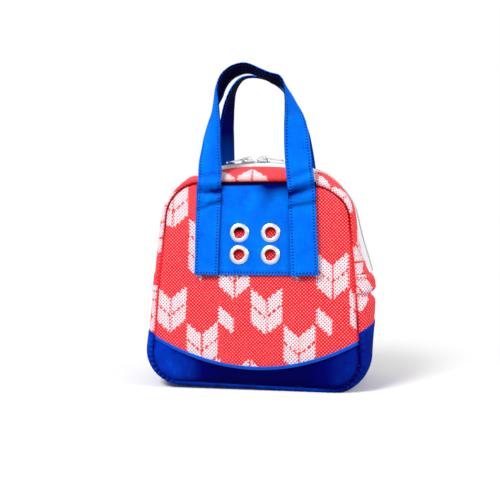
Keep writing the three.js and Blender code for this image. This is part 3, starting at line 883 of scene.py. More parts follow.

# %% [markdown]
# Canvas is a plain weave of thick and thin yarns, so it shows fine upright streaks, called slubs,
# and faint cross threads. Where a machine stitch pulls through it, the needle leaves a pit between
# two stitches, and the shade in it is painted navy. The stitches themselves are small meshes made
# later, and the pits are drawn here, in rows at a distance from the piece's middle.

# %% Canvas
BRIGHT_BLUE = colour(0, 116, 250)
MID_BLUE = colour(0, 76, 208)
LIGHT_BLUE = colour(0, 146, 255)
CANVAS_SHADE_NAVY = colour(0, 0, 104)
CANVAS_DEEP_SHADE = colour(0, 0, 26)
BASE_DEEP = colour(0, 0, 100)
BASE_BLUE = colour(0, 56, 196)
BASE_LIGHT = colour(0, 92, 236)
STITCH_PITCH = 3.2
ROW_INSET = 2.6


def canvas(name, main, deep, light, rows=()):
    """Canvas, with pits along rows. A row is its axis, its place and its ends, in millimetres."""
    finish = Finish(name)
    across, along = finish.cloth()
    slub = finish.clouds(finish.vector(across / 0.9, along / 14), 1.0, 4.0, 0.6)
    weft = finish.clouds(finish.vector(across / 11, along / 1.1, 4.0), 1.0, 3.0, 0.6)
    mottle = finish.clouds(finish.vector(across / 17, along / 22, 7.0), 1.0, 3.0)
    shade = (slub - 0.5) * 1.1 + (weft - 0.5) * 0.7 + (mottle - 0.5) * 1.4
    deeper = finish.mix(finish.step(shade, 0.0, -0.6) * 0.85, main, deep)
    body = finish.mix(finish.step(shade, 0.0, 0.55) * 0.8, deeper, light)
    # Painted shade from the mesh: navy where Shade is 1, and near-black past it
    depth = finish.shade()
    body = finish.mix(depth, body, CANVAS_SHADE_NAVY)
    body = finish.mix(finish.step(depth, *DEEP_SHADE_LEVELS), body, CANVAS_DEEP_SHADE)
    threads = finish.wave(across, 0.62) * finish.wave(along, 0.58)
    height = threads * 0.5 + slub * 0.9 + weft * 0.4
    for axis, place, start, end in rows:
        here, other = (across, along) if axis == "along" else (along, across)
        distance = (here - place).math("ABSOLUTE")
        beat = 1 - finish.wave(other, STITCH_PITCH)
        within = finish.step(other, start - 0.3, start) * (1 - finish.step(other, end, end + 0.3))
        pit = (1 - finish.step(distance, 0.5, 1.05)) * finish.step(beat, 0.45, 0.75) * within
        # Painted shade in each needle hole, as well as a dent in the bump
        body = finish.mix(pit * 0.85, body, CANVAS_SHADE_NAVY)
        height = height - pit * 1.5
    normal = finish.bump(height, 0.22 * MM, 0.8)
    return finish.surface(
        Base_Color=body, Roughness=0.78 + slub * 0.16, Normal=normal, Specular_IOR_Level=0.04)


print("Canvas is ready")

# %% [markdown]
# Each face is cut as one rounded trapezoid. Its mesh runs in rings from the seam to the middle, so
# the edge follows the seam exactly and is finest where the cloth dives into it. The rings' centre
# lies under the patch. A lining of thin plain cloth follows each face from inside.

# %% Faces and their linings
RING_STEPS = 320
FACE_SHARES = [0, 0.0006, 0.002, 0.005, 0.01, 0.016, 0.024, 0.034, 0.047, 0.062, 0.08]
FACE_SHARES += [0.1 + 0.02 * step for step in range(46)]
RING_CENTRE = 150 * MM
FACE_SPAN = 100 * MM
LINING_THICKNESS = 0.6 * MM
BAND_OVERLAP = 5 * MM
COVERED_SHADE = 2.0
FACE_SEAM_SHADE = 0.25
FACE_SEAM_SHADE_REACH = 1.3 * MM
FACE_SHOULDER_SHADE = 0.6
FACE_SHOULDER_GROWS = (150 * MM, 40 * MM)

ring_places = spread(-half_loop, half_loop, RING_STEPS)
band_edge = seam_point(band_side)[0]


def face_place(facing, length, share):
    """A place on a face, from 0 at its seam to 1 at the middle of its rings."""
    x, s, nx, ns = seam_point(length)
    if facing > 0:
        x -= nx * shoulder_sink(length)
        s -= ns * shoulder_sink(length)
    return x * (1 - share), s + (RING_CENTRE - s) * share


def band_height(x):
    """How high the band's upper edge is."""
    rise = BAND_SIDE_HEIGHT - BAND_MIDDLE_HEIGHT
    return BAND_MIDDLE_HEIGHT + rise * (x / band_edge) ** 2


def face_shade(facing, length, share):
    """Painted shade: deep red in the seam, deeper over the shoulders, and near-black where the band
    covers the cloth.
    """
    x, s = face_place(facing, length, share)
    if s < band_height(x) - BAND_OVERLAP:
        return COVERED_SHADE
    deepest = FACE_SEAM_SHADE + FACE_SHOULDER_SHADE * ramp(s, *FACE_SHOULDER_GROWS)
    return deepest * math.exp(-max(seam_inset(facing, x, s), 0) / FACE_SEAM_SHADE_REACH)


def face_sheet(name, finish, facing, under, thickness):
    """A whole face, or its lining when it lies under the cloth."""
    def point(length, share, depth):
        x, s = face_place(facing, length, share)
        return wall_point(facing, x, s, stands_out(facing, x, s) - under - depth)

    return sheet(
        name, finish, point, ring_places, FACE_SHARES, thickness, v_scale=FACE_SPAN, closed=True,
        laid=lambda length, share: face_place(facing, length, share), open_end=True,
        shade=lambda length, share, back: face_shade(facing, length, share))


plain_lining = Finish("lining_cotton")
across, along = plain_lining.cloth()
weave = plain_lining.wave(across, 0.7) * plain_lining.wave(along, 0.7)
slub = plain_lining.clouds(plain_lining.vector(across / 2, along / 9), 1.0)
lining_colour = plain_lining.mix(slub, colour(214, 208, 196), colour(232, 228, 218))
lining_finish = plain_lining.surface(
    Base_Color=lining_colour, Roughness=0.8 + weave * 0.1,
    Normal=plain_lining.bump(weave, 0.15 * MM, 0.6))

for facing, end in FACINGS:
    face = face_sheet(f"{end}_panel_cloth", woven, facing, 0, CLOTH_THICKNESS)
    on_bag(face, "woven_cloth", f"{end}_panel")
    under = CLOTH_THICKNESS + GAP
    inside = face_sheet(f"{end}_lining_cloth", lining_finish, facing, under, LINING_THICKNESS)
    on_bag(inside, "lining", f"{end}_lining")
    print(face.name, "has", len(face.data.polygons), "faces")

# %% [markdown]
# Inside each seam the turned edges of both cloths lie together, and they show as a red line in the
# groove between the face and the gusset. A thin round length of cloth stands for them, with painted
# shade that darkens it over the shoulders and low on the bag's right side.

# %% Seams
SEAM_CORD_RADIUS = 1.1 * MM
SEAM_CORD_START = 48 * MM
SEAM_CORD_DEPTH = 0.25 * MM
SEAM_CORD_STEPS = 120
SEAM_SHOULDER_GROWS = (125 * MM, 50 * MM)
SEAM_TUCK_SHADE = 0.8
SEAM_TUCK_HEIGHT = 62 * MM
SEAM_TUCK_REACH = 16 * MM
seam_cloth = Finish("seam_allowance")
across, along = seam_cloth.cloth()
ply = seam_cloth.wave(across + along, 1.4)
open_red = seam_cloth.mix(ply * 0.7, colour(252, 60, 70), colour(238, 24, 40))
shaded_cord_red = seam_cloth.mix(ply * 0.7, colour(158, 0, 16), colour(100, 0, 10))
seam_colour = seam_cloth.mix(seam_cloth.shade(), open_red, shaded_cord_red)
seam_finish = seam_cloth.surface(
    Base_Color=seam_colour, Roughness=0.8 + ply * 0.1,
    Normal=seam_cloth.bump(ply, 0.2 * MM, 0.6), Specular_IOR_Level=0.08)

for facing, end in FACINGS:
    for side, label in SIDES:
        places = []
        shades = []
        for length in spread(side * SEAM_CORD_START, side * band_side, SEAM_CORD_STEPS):
            _, s, nx, ns = seam_point(facing * length)
            shoulder = ramp(s, *SEAM_SHOULDER_GROWS)
            tucked = SEAM_TUCK_SHADE * hump(s, SEAM_TUCK_HEIGHT, SEAM_TUCK_REACH)
            shades.append(max(shoulder, tucked if side * facing > 0 else 0))
            place = gusset_point(facing * length, 0 if facing > 0 else 1, SEAM_CORD_DEPTH)
            places.append(place - Vector((nx, 0, ns)) * SEAM_GAP / 2)
        name = f"{end}_seam_allowance_{label}"
        cord = tube(name, seam_finish, places, SEAM_CORD_RADIUS, 8, shades)
        on_bag(cord, "woven_cloth")

# %% [markdown]
# The pieces of the gusset all come from its own shape. Their rows of mesh lie close together beside
# a seam, where the cloth turns sharply, and the painted shade there is deepest over the top.

# %% Rows and shade across the gusset
# Shares across a piece: close together beside a seam and a fold, and how the rest are crowded
SEAM_CLOSE = [0, 0.0012, 0.004, 0.01, 0.02]
SEAM_CLOSE_END = 0.025
FOLD_CLOSE = [0.988, 0.994, 0.998, 1]
FOLD_CLOSE_START = 0.985
CROWDED_TO_FOLD = 1.35
CROWDED_TO_MIDDLE = 1.3
STEPS_ACROSS = 36
# How dark the painted shade in a seam is and how far it reaches, and what the top's seams add
SEAM_SHADE = 0.5
SEAM_SHADE_REACH = 2.2
SEAM_SHADE_FALL = 1.5
TOP_SEAM_SHADE = 0.35
TOP_SEAM_SHADE_REACH = 1.6
TOP_SEAM_LINE = 0.75
TOP_SEAM_LINE_REACH = 1.1 * MM
TOP_SEAM_ENDS = (top_flat, 70 * MM)


def seam_to_fold(steps):
    """Places from a seam to the folded edge beside the zip."""
    inside = [(step / steps) ** CROWDED_TO_FOLD for step in range(1, steps)]
    inside = [share for share in inside if SEAM_CLOSE_END < share < FOLD_CLOSE_START]
    return SEAM_CLOSE + inside + FOLD_CLOSE


def seam_to_seam(steps):
    """Places from the front seam to the back one."""
    half = [share / 2 for share in SEAM_CLOSE]
    inside = [0.5 * (step / steps) ** CROWDED_TO_MIDDLE for step in range(1, steps + 1)]
    half += [share for share in inside if share > SEAM_CLOSE_END / 2]
    return half + [1 - share for share in reversed(half[:-1])]


def on_half(facing, across):
    """A place across the gusset's front half, or the same one on its back half."""
    return across if facing > 0 else 1 - across


def seam_distance(length, across):
    """How far a place on the gusset is from its nearer seam, along the cloth."""
    lateral, profile = roll_section(across)
    return bulge(length) * profile + half_depth(seam_point(length)[1]) * (1 - abs(lateral))


def seam_shade(length, across):
    """Painted shade in the seam, deepest over the top where the roll hangs over it."""
    over = 1 - ramp(abs(wrapped(length)), *TOP_SEAM_ENDS)
    place = seam_distance(length, across)
    line = TOP_SEAM_LINE * over * hump(place, 0, TOP_SEAM_LINE_REACH)
    reach = (SEAM_SHADE_REACH + TOP_SEAM_SHADE_REACH * over) * MM
    fall = math.exp(-(place / reach) ** SEAM_SHADE_FALL)
    return (SEAM_SHADE + TOP_SEAM_SHADE * over) * fall + line


print("A gusset piece has", len(seam_to_seam(STEPS_ACROSS)), "places from seam to seam")

# %% [markdown]
# The gusset over the top is two strips of jacquard, each from a face's seam to the zip, with a
# folded edge beside the zip. Below the zip, one tab covers its end on each side, then one piece of
# jacquard, and blue canvas goes round the whole base.

# %% Gusset pieces
ZIP_HALF_WIDTH = 12.5 * MM
END_TAB_PROUD = 0.7 * MM
LEFT_TAB_PROUD = 0.4 * MM
BASE_PROUD = 0.8 * MM
FOLD_PROUD = 0.7 * MM
FOLD_STEP = 1.5 * MM
END_FOLD_WIDTH = 4 * MM
ZIP_FOLD_PROUD = 0.35 * MM
ZIP_FOLD_WIDTH = 3.5 * MM
BLUE_CLIMB = (9 * MM, 3 * MM)
CLIMB_REACH = 30 * MM
CLIMB_ROUNDNESS = 0.7
TOP_STRIP_SPAN = 42 * MM
GUSSET_SPAN = 90 * MM
# How far a lower piece reaches up under the one above it
SIDE_TUCK = 4 * MM
SIDE_FOOT = 1.5 * MM
BASE_TUCKS = (7 * MM, 2 * MM)
# Painted shade in the puckers' valleys, and on the blue canvas where it turns away at the lower right
PUCKER_SHADE = 0.9
PUCKER_SHADE_REACH = 9 * MM
TURNED_AWAY_SHADE = 0.62
TURNED_AWAY_GROWS = (60 * MM, 30 * MM)
TURNED_AWAY_TOP = 70 * MM
TURNED_AWAY_FADE = 30 * MM
base_canvas = canvas("base_canvas", BASE_BLUE, BASE_DEEP, BASE_LIGHT)


def on_fold(from_edge, width):
    """1 on a fold along an edge, and 0 past its width."""
    return smooth(1 - (from_edge - width) / FOLD_STEP)


def top_gusset(facing, end):
    """A strip over the top, from a face's seam to its folded edge beside the zip."""
    def shade(length, share, under):
        return seam_shade(length, share * line_across(ZIP_HALF_WIDTH + GAP, length))

    def point(length, share, depth):
        edge = line_across(ZIP_HALF_WIDTH + GAP, length)
        across = share * edge
        from_edge = (1 - share) * edge * math.pi * half_depth(seam_point(length)[1])
        raised = ZIP_FOLD_PROUD * on_fold(from_edge, ZIP_FOLD_WIDTH)
        return gusset_point(length, on_half(facing, across), depth - raised)

    us = spread(-zip_end, zip_end, 200, CLOTH_THICKNESS)
    piece = sheet(
        f"{end}_top_gusset_cloth", woven_gusset, point, us, seam_to_fold(34), CLOTH_THICKNESS,
        v_scale=TOP_STRIP_SPAN, shade=shade)
    return on_bag(piece, "woven_cloth", f"{end}_top_gusset")


def cross_gusset(
        name, finish, start, end, steps, thickness, under=0.0, fold=0.0, rises=(0, 0),
        darker=False):
    """A piece right across the gusset. rises says how far its ends climb towards the middle."""
    def climbed(length, across):
        arch = math.sin(math.pi * across) ** CLIMB_ROUNDNESS
        near = max(0, 1 - abs(length - start) / CLIMB_REACH) * rises[0]
        far = max(0, 1 - abs(length - end) / CLIMB_REACH) * rises[1]
        return length + (far - near) * arch * (1 if end > start else -1)

    def point(length, across, depth):
        from_end = min(abs(length - start), abs(length - end))
        raised = FOLD_PROUD * fold * on_fold(from_end, END_FOLD_WIDTH)
        return gusset_point(climbed(length, across), across, depth + under - raised)

    def shade(length, across, under):
        x, s = seam_point(length)[:2]
        near = hump(seam_distance(length, across), 0, PUCKER_SHADE_REACH)
        valley = max(0, -pucker_wave(length, 1 if across < 0.5 else -1)) * corner_pull(x, s)
        low = smooth((TURNED_AWAY_TOP - s) / TURNED_AWAY_FADE)
        turned_away = TURNED_AWAY_SHADE * ramp(x, *TURNED_AWAY_GROWS) * low
        deep = seam_shade(length, across) + PUCKER_SHADE * valley * near
        return min(deep + (turned_away if darker else 0), 1)

    us = spread(start, end, steps, thickness)
    return sheet(
        name, finish, point, us, seam_to_seam(STEPS_ACROSS), thickness, v_scale=GUSSET_SPAN,
        shade=shade)


for facing, end in FACINGS:
    top_gusset(facing, end)
for side, label in SIDES:
    tab = cross_gusset(
        f"zip_end_tab_{label}_cloth", woven, side * (zip_end + GAP), side * tab_end, 14,
        CLOTH_THICKNESS, -END_TAB_PROUD if side > 0 else -LEFT_TAB_PROUD, 0.8)
    on_bag(tab, "woven_cloth", f"zip_end_tab_{label}")
    low = cross_gusset(
        f"side_gusset_{label}_cloth", woven_gusset, side * (tab_end - SIDE_TUCK),
        side * (band_side + SIDE_FOOT), 24, CLOTH_THICKNESS)
    on_bag(low, "woven_cloth", f"side_gusset_{label}")
base_start = band_side - BASE_TUCKS[0]
base_end = 2 * half_loop - band_side + BASE_TUCKS[1]
base = cross_gusset(
    "base_gusset_cloth", base_canvas, base_start, base_end, 300, CLOTH_THICKNESS, -BASE_PROUD, 0.3,
    BLUE_CLIMB, darker=True)
on_bag(base, "base_canvas", "base_gusset")
inner = cross_gusset(
    "gusset_lining_cloth", lining_finish, zip_end, 2 * half_loop - zip_end, 160,
    LINING_THICKNESS, CLOTH_THICKNESS + GAP)
on_bag(inner, "lining", "gusset_lining")
print("The base gusset runs", round((base_end - base_start) / MM), "mm")

# %% [markdown]
# A zip is a woven tape on each side with a coil of nylon sewn along its edge. The tape shows fine
# ribs across it, and the coil is a helix whose turns lock into the other coil's. Both coils are
# swept as real helices, because their turns catch the light one by one. The tape's ribs are only
# a tenth of a millimetre high, so they stay in the material.

# %% Zip
TAPE_THICKNESS = 1.0 * MM
TAPE_RECESS = 0.4 * MM
COIL_HALF_WIDTH = 3 * MM
COIL_PITCH = 1.35 * MM
COIL_WIRE = 0.34 * MM
COIL_TURN_POINTS = 10
COIL_HEIGHT = 0.75 * MM
COIL_SHIFT = 0.05 * MM
COIL_PLAY = 0.1 * MM
COIL_END_GAP = 1 * MM
TAPE_TUCK = 3 * MM
TAPE_UNDER_COIL = 1.4 * MM
RIDGE_FLAT = 1.25

tape = Finish("zip_tape_cloth")
across, along = tape.cloth()
rib = tape.wave(across, 1.3)
chevron = tape.wave(across + along.math("PINGPONG", 1.2), 1.3)
tape_weave = rib * 0.6 + chevron * 0.4
tape_colour = tape.mix(tape_weave * 0.45, colour(254, 255, 255), colour(230, 238, 241))
tape_finish = tape.surface(
    Base_Color=tape_colour, Roughness=0.7 + rib * 0.12, Normal=tape.bump(tape_weave, 0.2 * MM, 0.8))

nylon = Finish("zip_coil_nylon")
across, along = nylon.cloth()
cast = nylon.clouds(nylon.vector(across / 6, along / 6), 1.0)
# Painted shade between the coil's turns: the wire goes teal grey and back over every two turns
turn_shade = nylon.wave(across, 6.8) * 0.8 + cast * 0.2
nylon_colour = nylon.mix(turn_shade, colour(246, 252, 252), colour(158, 204, 210))
coil_finish = nylon.surface(Base_Color=nylon_colour, Roughness=0.3 + cast * 0.1)


def zip_rise(offset, length):
    """The zip stands up between the gusset's edges, most at its coils."""
    return zip_proud(length) * smooth(RIDGE_FLAT - offset / (ZIP_HALF_WIDTH + GAP))


def zip_half(facing, end):
    """The tape and the coil of one half of the zip. The coil's turns are counted."""
    def tape_point(length, offset, depth):
        across = on_half(facing, line_across(offset, length))
        return gusset_point(length, across, TAPE_RECESS + depth - zip_rise(offset, length))

    us = spread(-zip_end, zip_end, 160, TAPE_THICKNESS)
    vs = spread(
        ZIP_HALF_WIDTH + TAPE_TUCK, COIL_HALF_WIDTH - TAPE_UNDER_COIL, 12, TAPE_THICKNESS)
    strip = sheet(f"{end}_zip_tape_cloth", tape_finish, tape_point, us, vs, TAPE_THICKNESS)
    on_bag(strip, "zip_tape", f"{end}_zip_tape")
    turns = int(2 * (zip_end - COIL_END_GAP) / COIL_PITCH)
    middle = COIL_HALF_WIDTH / 2 + COIL_SHIFT
    reach = COIL_HALF_WIDTH / 2 - COIL_WIRE - COIL_PLAY
    places = []
    for i in range(turns * COIL_TURN_POINTS + 1):
        turn = 2 * math.pi * i / COIL_TURN_POINTS
        length = -zip_end + COIL_END_GAP + COIL_PITCH * i / COIL_TURN_POINTS
        length += 0 if facing > 0 else COIL_PITCH / 2
        offset = middle + reach * math.cos(turn)
        rise = COIL_HEIGHT * (0.5 + 0.5 * math.sin(turn)) - TAPE_RECESS + COIL_WIRE
        rise += zip_rise(offset, length)
        across = line_across(offset, min(length, zip_end))
        places.append(gusset_point(min(length, zip_end), on_half(facing, across), -rise))
    coil = tube(f"{end}_zip_coil_wire", coil_finish, places, COIL_WIRE)
    on_bag(coil, "zip_coil", f"{end}_zip_coil")
    return turns


for facing, end in FACINGS:
    print(f"The {end} coil has", zip_half(facing, end), "turns")

# %% [markdown]
# The base band is laid over the face and sewn into the same seam. Its upper edge is folded under
# and curves like a smile, and the fold shows as a bright line about three millimetres wide: it stands
# out and catches the light, and its canvas is painted lighter as well. The fold is a sheet of its
# own on top of the band, because its cloth is turned twice. Painted shade darkens the band itself.

# %% Base bands
BAND_THICKNESS = 1.2 * MM
BAND_LIFT = 0.15 * MM
BAND_INSET = 0.1 * MM
BAND_SPAN = 18 * MM
FOLD_WIDTH = 3.0 * MM
FOLD_THICKNESS = 1.1 * MM
FOLD_LIFT = 0.75 * MM
FOLD_ABOVE = 0.4 * MM
FOLD_END_GAP = 1 * MM
FOLD_RIPPLE = 0.12 * MM
FOLD_RIPPLE_PITCH = 5.2 * MM
# Painted shade on the band: darkest in its middle and right part, beside its fold and in its seam
BAND_SHADE = 1.25
BAND_SHADE_GROWS = (-96 * MM, 62 * MM)
BAND_SHADE_EASE = 0.52
BAND_SHADE_EASES = (45 * MM, 60 * MM)
UNDER_FOLD_SHADE = 0.6
UNDER_FOLD_DROP = 3.5 * MM
UNDER_FOLD_REACH = 1.2 * MM
BAND_SEAM_SHADE = 0.7
BAND_SEAM_REACH = 1.5 * MM
BAND_DARKEST = 1.3
# The fold's canvas is a lighter copy of the band's: a painted highlight on the fold
fold_highlight_canvas = canvas("fold_highlight_canvas", colour(0, 92, 222), BASE_BLUE, colour(20, 120, 240))


def band_place(length, share):
    """A place on the band, from 0 at its seam to 1 at its upper edge."""
    x, s, nx, ns = seam_point(length)
    x = x - nx * BAND_INSET
    s = s - ns * BAND_INSET
    along_edge = (length - band_side) / (2 * half_loop - 2 * band_side)
    top = band_edge * (1 - 2 * along_edge)
    return x + (top - x) * share, s + (band_height(top) - s) * share


def fold_place(x, down):
    """A place below the band's upper edge, square to it."""
    slope = 2 * (BAND_SIDE_HEIGHT - BAND_MIDDLE_HEIGHT) * x / band_edge ** 2
    steep = math.hypot(1, slope)
    return x + slope / steep * down, band_height(x) - down / steep


def base_band(facing, end):
    """The band and, on top of it, its fold."""
    def band_point(length, share, depth):
        x, s = band_place(length, share)
        out = stands_out(facing, x, s) + BAND_LIFT + BAND_THICKNESS
        return wall_point(facing, x, s, out - depth)

    def fold_point(x, down, depth):
        x, s = fold_place(x, down)
        out = stands_out(facing, x, s) + BAND_LIFT + BAND_THICKNESS + FOLD_LIFT
        out += FOLD_RIPPLE * math.sin(2 * math.pi * x / FOLD_RIPPLE_PITCH)
        return wall_point(facing, x, s, out - depth)

    def band_shade(length, share, under):
        x, s = band_place(length, share)
        middle = ramp(x, *BAND_SHADE_GROWS) * (1 - BAND_SHADE_EASE * ramp(x, *BAND_SHADE_EASES))
        from_fold = abs(band_height(x) - s - UNDER_FOLD_DROP)
        under_fold = UNDER_FOLD_SHADE * math.exp(-from_fold / UNDER_FOLD_REACH)
        seam = BAND_SEAM_SHADE * math.exp(-max(inset(x, s), 0) / BAND_SEAM_REACH)
        return min(BAND_SHADE * middle + under_fold + seam, BAND_DARKEST)

    us = spread(band_side, 2 * half_loop - band_side, 220)
    band = sheet(
        f"{end}_base_band_canvas", base_canvas, band_point, us, spread(0, 1, 26, 0.05),
        BAND_THICKNESS, v_scale=BAND_SPAN, laid=band_place, shade=band_shade)
    on_bag(band, "base_canvas", f"{end}_base_band")
    us = spread(-band_edge + FOLD_END_GAP, band_edge - FOLD_END_GAP, 180)
    vs = spread(-FOLD_ABOVE, FOLD_WIDTH, 8, FOLD_THICKNESS)
    fold = sheet(f"{end}_base_band_fold", fold_highlight_canvas, fold_point, us, vs, FOLD_THICKNESS)
    on_bag(fold, "base_canvas")


for facing, end in FACINGS:
    base_band(facing, end)
print("The band's edge falls", round((BAND_SIDE_HEIGHT - BAND_MIDDLE_HEIGHT) / MM, 1), "mm")

# %% [markdown]
# The patch is a rectangle of bright canvas between the two straps, hemmed at its foot. On the front
# it is pierced by four eyelets. Cloth under an eyelet is hidden by its brim, so the holes are only
# left out of the mesh in the rough, a little wider than the barrel. Shade is painted on the patch's
# head under the top seam and its roll, most on its right, along a slanting crease, and beside each
# strap.

# %% Patches
PATCH_FOOT_HEIGHT = 110 * MM
PATCH_HEAD_HEIGHT = 205.9 * MM
PATCH_THICKNESS = 1.2 * MM
PATCH_LIFT = 0.6 * MM
STRAP_WIDTH = 26 * MM
STRAP_SPREAD = 99 * MM
EYELET_SPACING_X = 32 * MM
EYELET_SPACING_Z = 22.5 * MM
EYELET_ROWS_HEIGHT = 142 * MM
EYELET_BORE = 5.5 * MM
EYELET_BRIM = 10 * MM
EYELET_CUT = 7.2 * MM
HEM_HEIGHT = 7 * MM
HEM_PROUD = 0.45 * MM
HEM_STEP = 1.2 * MM
ROW_GROOVE = 0.22 * MM
ROW_GROOVE_REACH = 0.8 * MM
PATCH_TUCK = 0.6 * MM
PATCH_RIPPLE = 0.35 * MM
PATCH_RIPPLE_WIDTH = 16 * MM
PATCH_RIPPLE_HEIGHT = 26 * MM
PATCH_RIPPLE_SEED = 5.5
# Painted shade on the patch
HEAD_SHADE = 2.6
HEAD_SHADE_REACH = 3.1 * MM
SOFT_SHADE = 0.2
SOFT_SHADE_RIGHT = 0.55
SOFT_SHADE_GROWS = (-4 * MM, 16 * MM)
SOFT_SHADE_REACHES = (14 * MM, 7 * MM)
CREASE_SHADE = 0.3
CREASE_SHADE_AT = (13 * MM, 18 * MM)
CREASE_SHADE_SLANT = 0.35
CREASE_SHADE_WIDTH = 7 * MM
CREASE_SHADE_LENGTH = 15 * MM
BESIDE_SHADE = 0.45
BESIDE_SHADE_REACH = 2.2 * MM
strap_centre = STRAP_SPREAD / 2
strap_half = STRAP_WIDTH / 2
patch_half = strap_centre + strap_half - PATCH_TUCK
foot_row = (PATCH_FOOT_HEIGHT / MM) + ROW_INSET
patch_canvas = canvas(
    "patch_canvas", BRIGHT_BLUE, MID_BLUE, LIGHT_BLUE,
    rows=[("across", foot_row, -patch_half / MM, patch_half / MM)])
eyelet_places = [
    (column * EYELET_SPACING_X / 2, EYELET_ROWS_HEIGHT + row * EYELET_SPACING_Z / 2)
    for row in (1, -1) for column in (-1, 1)
]


def patch_out(facing, x, s):
    """How far a patch's face stands out of the plane of the bag's face."""
    hem = HEM_PROUD * smooth(1 - (s - PATCH_FOOT_HEIGHT - HEM_HEIGHT) / HEM_STEP)
    row = abs(s - PATCH_FOOT_HEIGHT - ROW_INSET * MM)
    groove = ROW_GROOVE * hump(row, 0, ROW_GROOVE_REACH)
    place = Vector((x / PATCH_RIPPLE_WIDTH, s / PATCH_RIPPLE_HEIGHT, PATCH_RIPPLE_SEED * facing))
    ripple = PATCH_RIPPLE * noise.noise(place)
    return stands_out(facing, x, s) + PATCH_LIFT + PATCH_THICKNESS + hem - groove + ripple


def patch(facing, end):
    """The patch, pierced on the front."""
    def point(x, s, depth):
        return wall_point(facing, x, s, patch_out(facing, x, s) - depth)

    def pierced(x_low, x_high, s_low, s_high):
        middle = Vector(((x_low + x_high) / 2, (s_low + s_high) / 2))
        gaps = [(middle - Vector(place)).length for place in eyelet_places]
        return min(gaps) < EYELET_CUT

    def shade(x, s, under):
        below = PATCH_HEAD_HEIGHT - s
        head = HEAD_SHADE * hump(below, 0, HEAD_SHADE_REACH)
        right = SOFT_SHADE_RIGHT * ramp(x, *SOFT_SHADE_GROWS)
        far, near = [hump(below, 0, reach) for reach in SOFT_SHADE_REACHES]
        crease_x, crease_below = CREASE_SHADE_AT
        line = x + CREASE_SHADE_SLANT * (below - crease_below)
        slanted = hump(line, crease_x, CREASE_SHADE_WIDTH)
        slanted *= hump(below, crease_below, CREASE_SHADE_LENGTH)
        soft = (SOFT_SHADE + right) * far + right * near + CREASE_SHADE * slanted
        from_strap = max(strap_centre - strap_half - abs(x), 0)
        beside = BESIDE_SHADE * math.exp(-from_strap / BESIDE_SHADE_REACH)
        return max(head, min(soft + beside, 1))

    us = spread(-patch_half, patch_half, 104, PATCH_THICKNESS)
    vs = spread(PATCH_FOOT_HEIGHT, PATCH_HEAD_HEIGHT, 84, PATCH_THICKNESS)
    dropped = pierced if facing > 0 else None
    made = sheet(
        f"{end}_patch_canvas", patch_canvas, point, us, vs, PATCH_THICKNESS,
        laid=lambda x, s: (x, s), dropped=dropped, shade=shade)
    return on_bag(made, "handle_canvas", f"{end}_patch")


for facing, end in FACINGS:
    patch(facing, end)
print("The patch is", round(2 * patch_half / MM), "mm wide")

# %% [markdown]
# A strap and its handle are one length of canvas, folded lengthwise and stitched along both edges.
# It is sewn to the patch, leaves the bag at a fold just under the top seam, turns a quarter about
# its own length and crosses over flat. A Route keeps the line and the way the strap faces along
# it, and the strap is a sheet laid along the route.

# %% Route of the straps
STRAP_THICKNESS = 2.4 * MM
HANDLE_FOLD_INSET = 2.5 * MM
HANDLE_RISE = {1: 124.5 * MM, -1: 128.5 * MM}
HANDLE_LEAN = {1: math.radians(5), -1: math.radians(10)}
CAD_PATCH_FROM = {1: 1.2 * MM, -1: 0.3 * MM}
CAD_PATCH_THICKNESS = 1.4 * MM
# Across as a share of half the spread, up as a share of the rise, the turn of the strap, its tilt
# in degrees, its width as a share, and how deep it is cupped in millimetres
HANDLE_PATHS = {
    1: [
        (-0.96, 0.13, 0, 5, 0.95, 0), (-0.95, 0.29, 0.27, 5, 0.95, 0),
        (-0.93, 0.42, 0.4, 7, 0.95, 1), (-0.9, 0.56, 0.6, 12, 0.95, 2),
        (-0.85, 0.7, 0.86, 20, 0.95, 3.5), (-0.805, 0.79, 1, 24, 0.95, 3.5),
        (-0.745, 0.86, 1, 22, 0.95, 2.5), (-0.64, 0.918, 1, 16, 0.95, 1.5),
        (-0.46, 0.965, 1, 12, 0.95, 0.5), (-0.2, 0.982, 1, 8, 0.95, 0),
        (0.12, 0.93, 1, 5, 0.95, 0), (0.32, 0.888, 1, 9, 0.97, 0), (0.5, 0.858, 0.95, 16, 1, 0),
        (0.63, 0.795, 0.87, 12, 1.02, 0), (0.72, 0.69, 0.73, 8, 1.01, 0), (0.8, 0.56, 0.46, 6, 1, 0),
        (0.84, 0.42, 0.2, 5, 1, 0), (0.865, 0.28, 0.04, 5, 1.03, 0), (0.9, 0.12, 0, 5, 1.06, 0),
    ],
    -1: [
        (-0.94, 0.1, 0.03, 5, 1, 0), (-0.88, 0.3, 0.4, 4, 1, 0), (-0.81, 0.56, 0.68, 5, 1, 0),
        (-0.735, 0.74, 0.82, 7, 1, 0), (-0.63, 0.875, 0.95, 10, 1, 0),
        (-0.44, 0.965, 1, 13, 1, 0), (-0.18, 0.985, 1, 14, 1, 0), (0.12, 0.96, 1, 14, 1, 0),
        (0.4, 0.9, 1, 15, 1, 0), (0.56, 0.83, 0.95, 15, 1, 0), (0.68, 0.7, 0.76, 0, 1, 0),
        (0.82, 0.53, 0.4, 0, 1, 0), (0.9, 0.34, 0.1, 3, 1, 0), (0.98, 0.12, 0, 5, 1, 0),
    ],
}
# How the sewn strap ends slant, from the foot to the head, left and right as seen in front
SEWN_SLANT = {(1, -1): (0.0, 2.0), (1, 1): (1.2, -2.3), (-1, -1): (0.0, 0.0), (-1, 1): (0.0, 0.0)}
SEWN_WIDTH = {(1, -1): 0.95, (1, 1): 1.07, (-1, -1): 1.0, (-1, 1): 1.0}
SEWN_STEPS = 9
SEWN_FOOT_HEIGHT = PATCH_FOOT_HEIGHT - 0.5 * MM
SEWN_HEAD_HEIGHT = 198 * MM
SEWN_GAP = 0.1 * MM
CURVE_STEPS = 12
ROUTE_STEP = 1.5 * MM
fold_height = PANEL_HEIGHT - HANDLE_FOLD_INSET


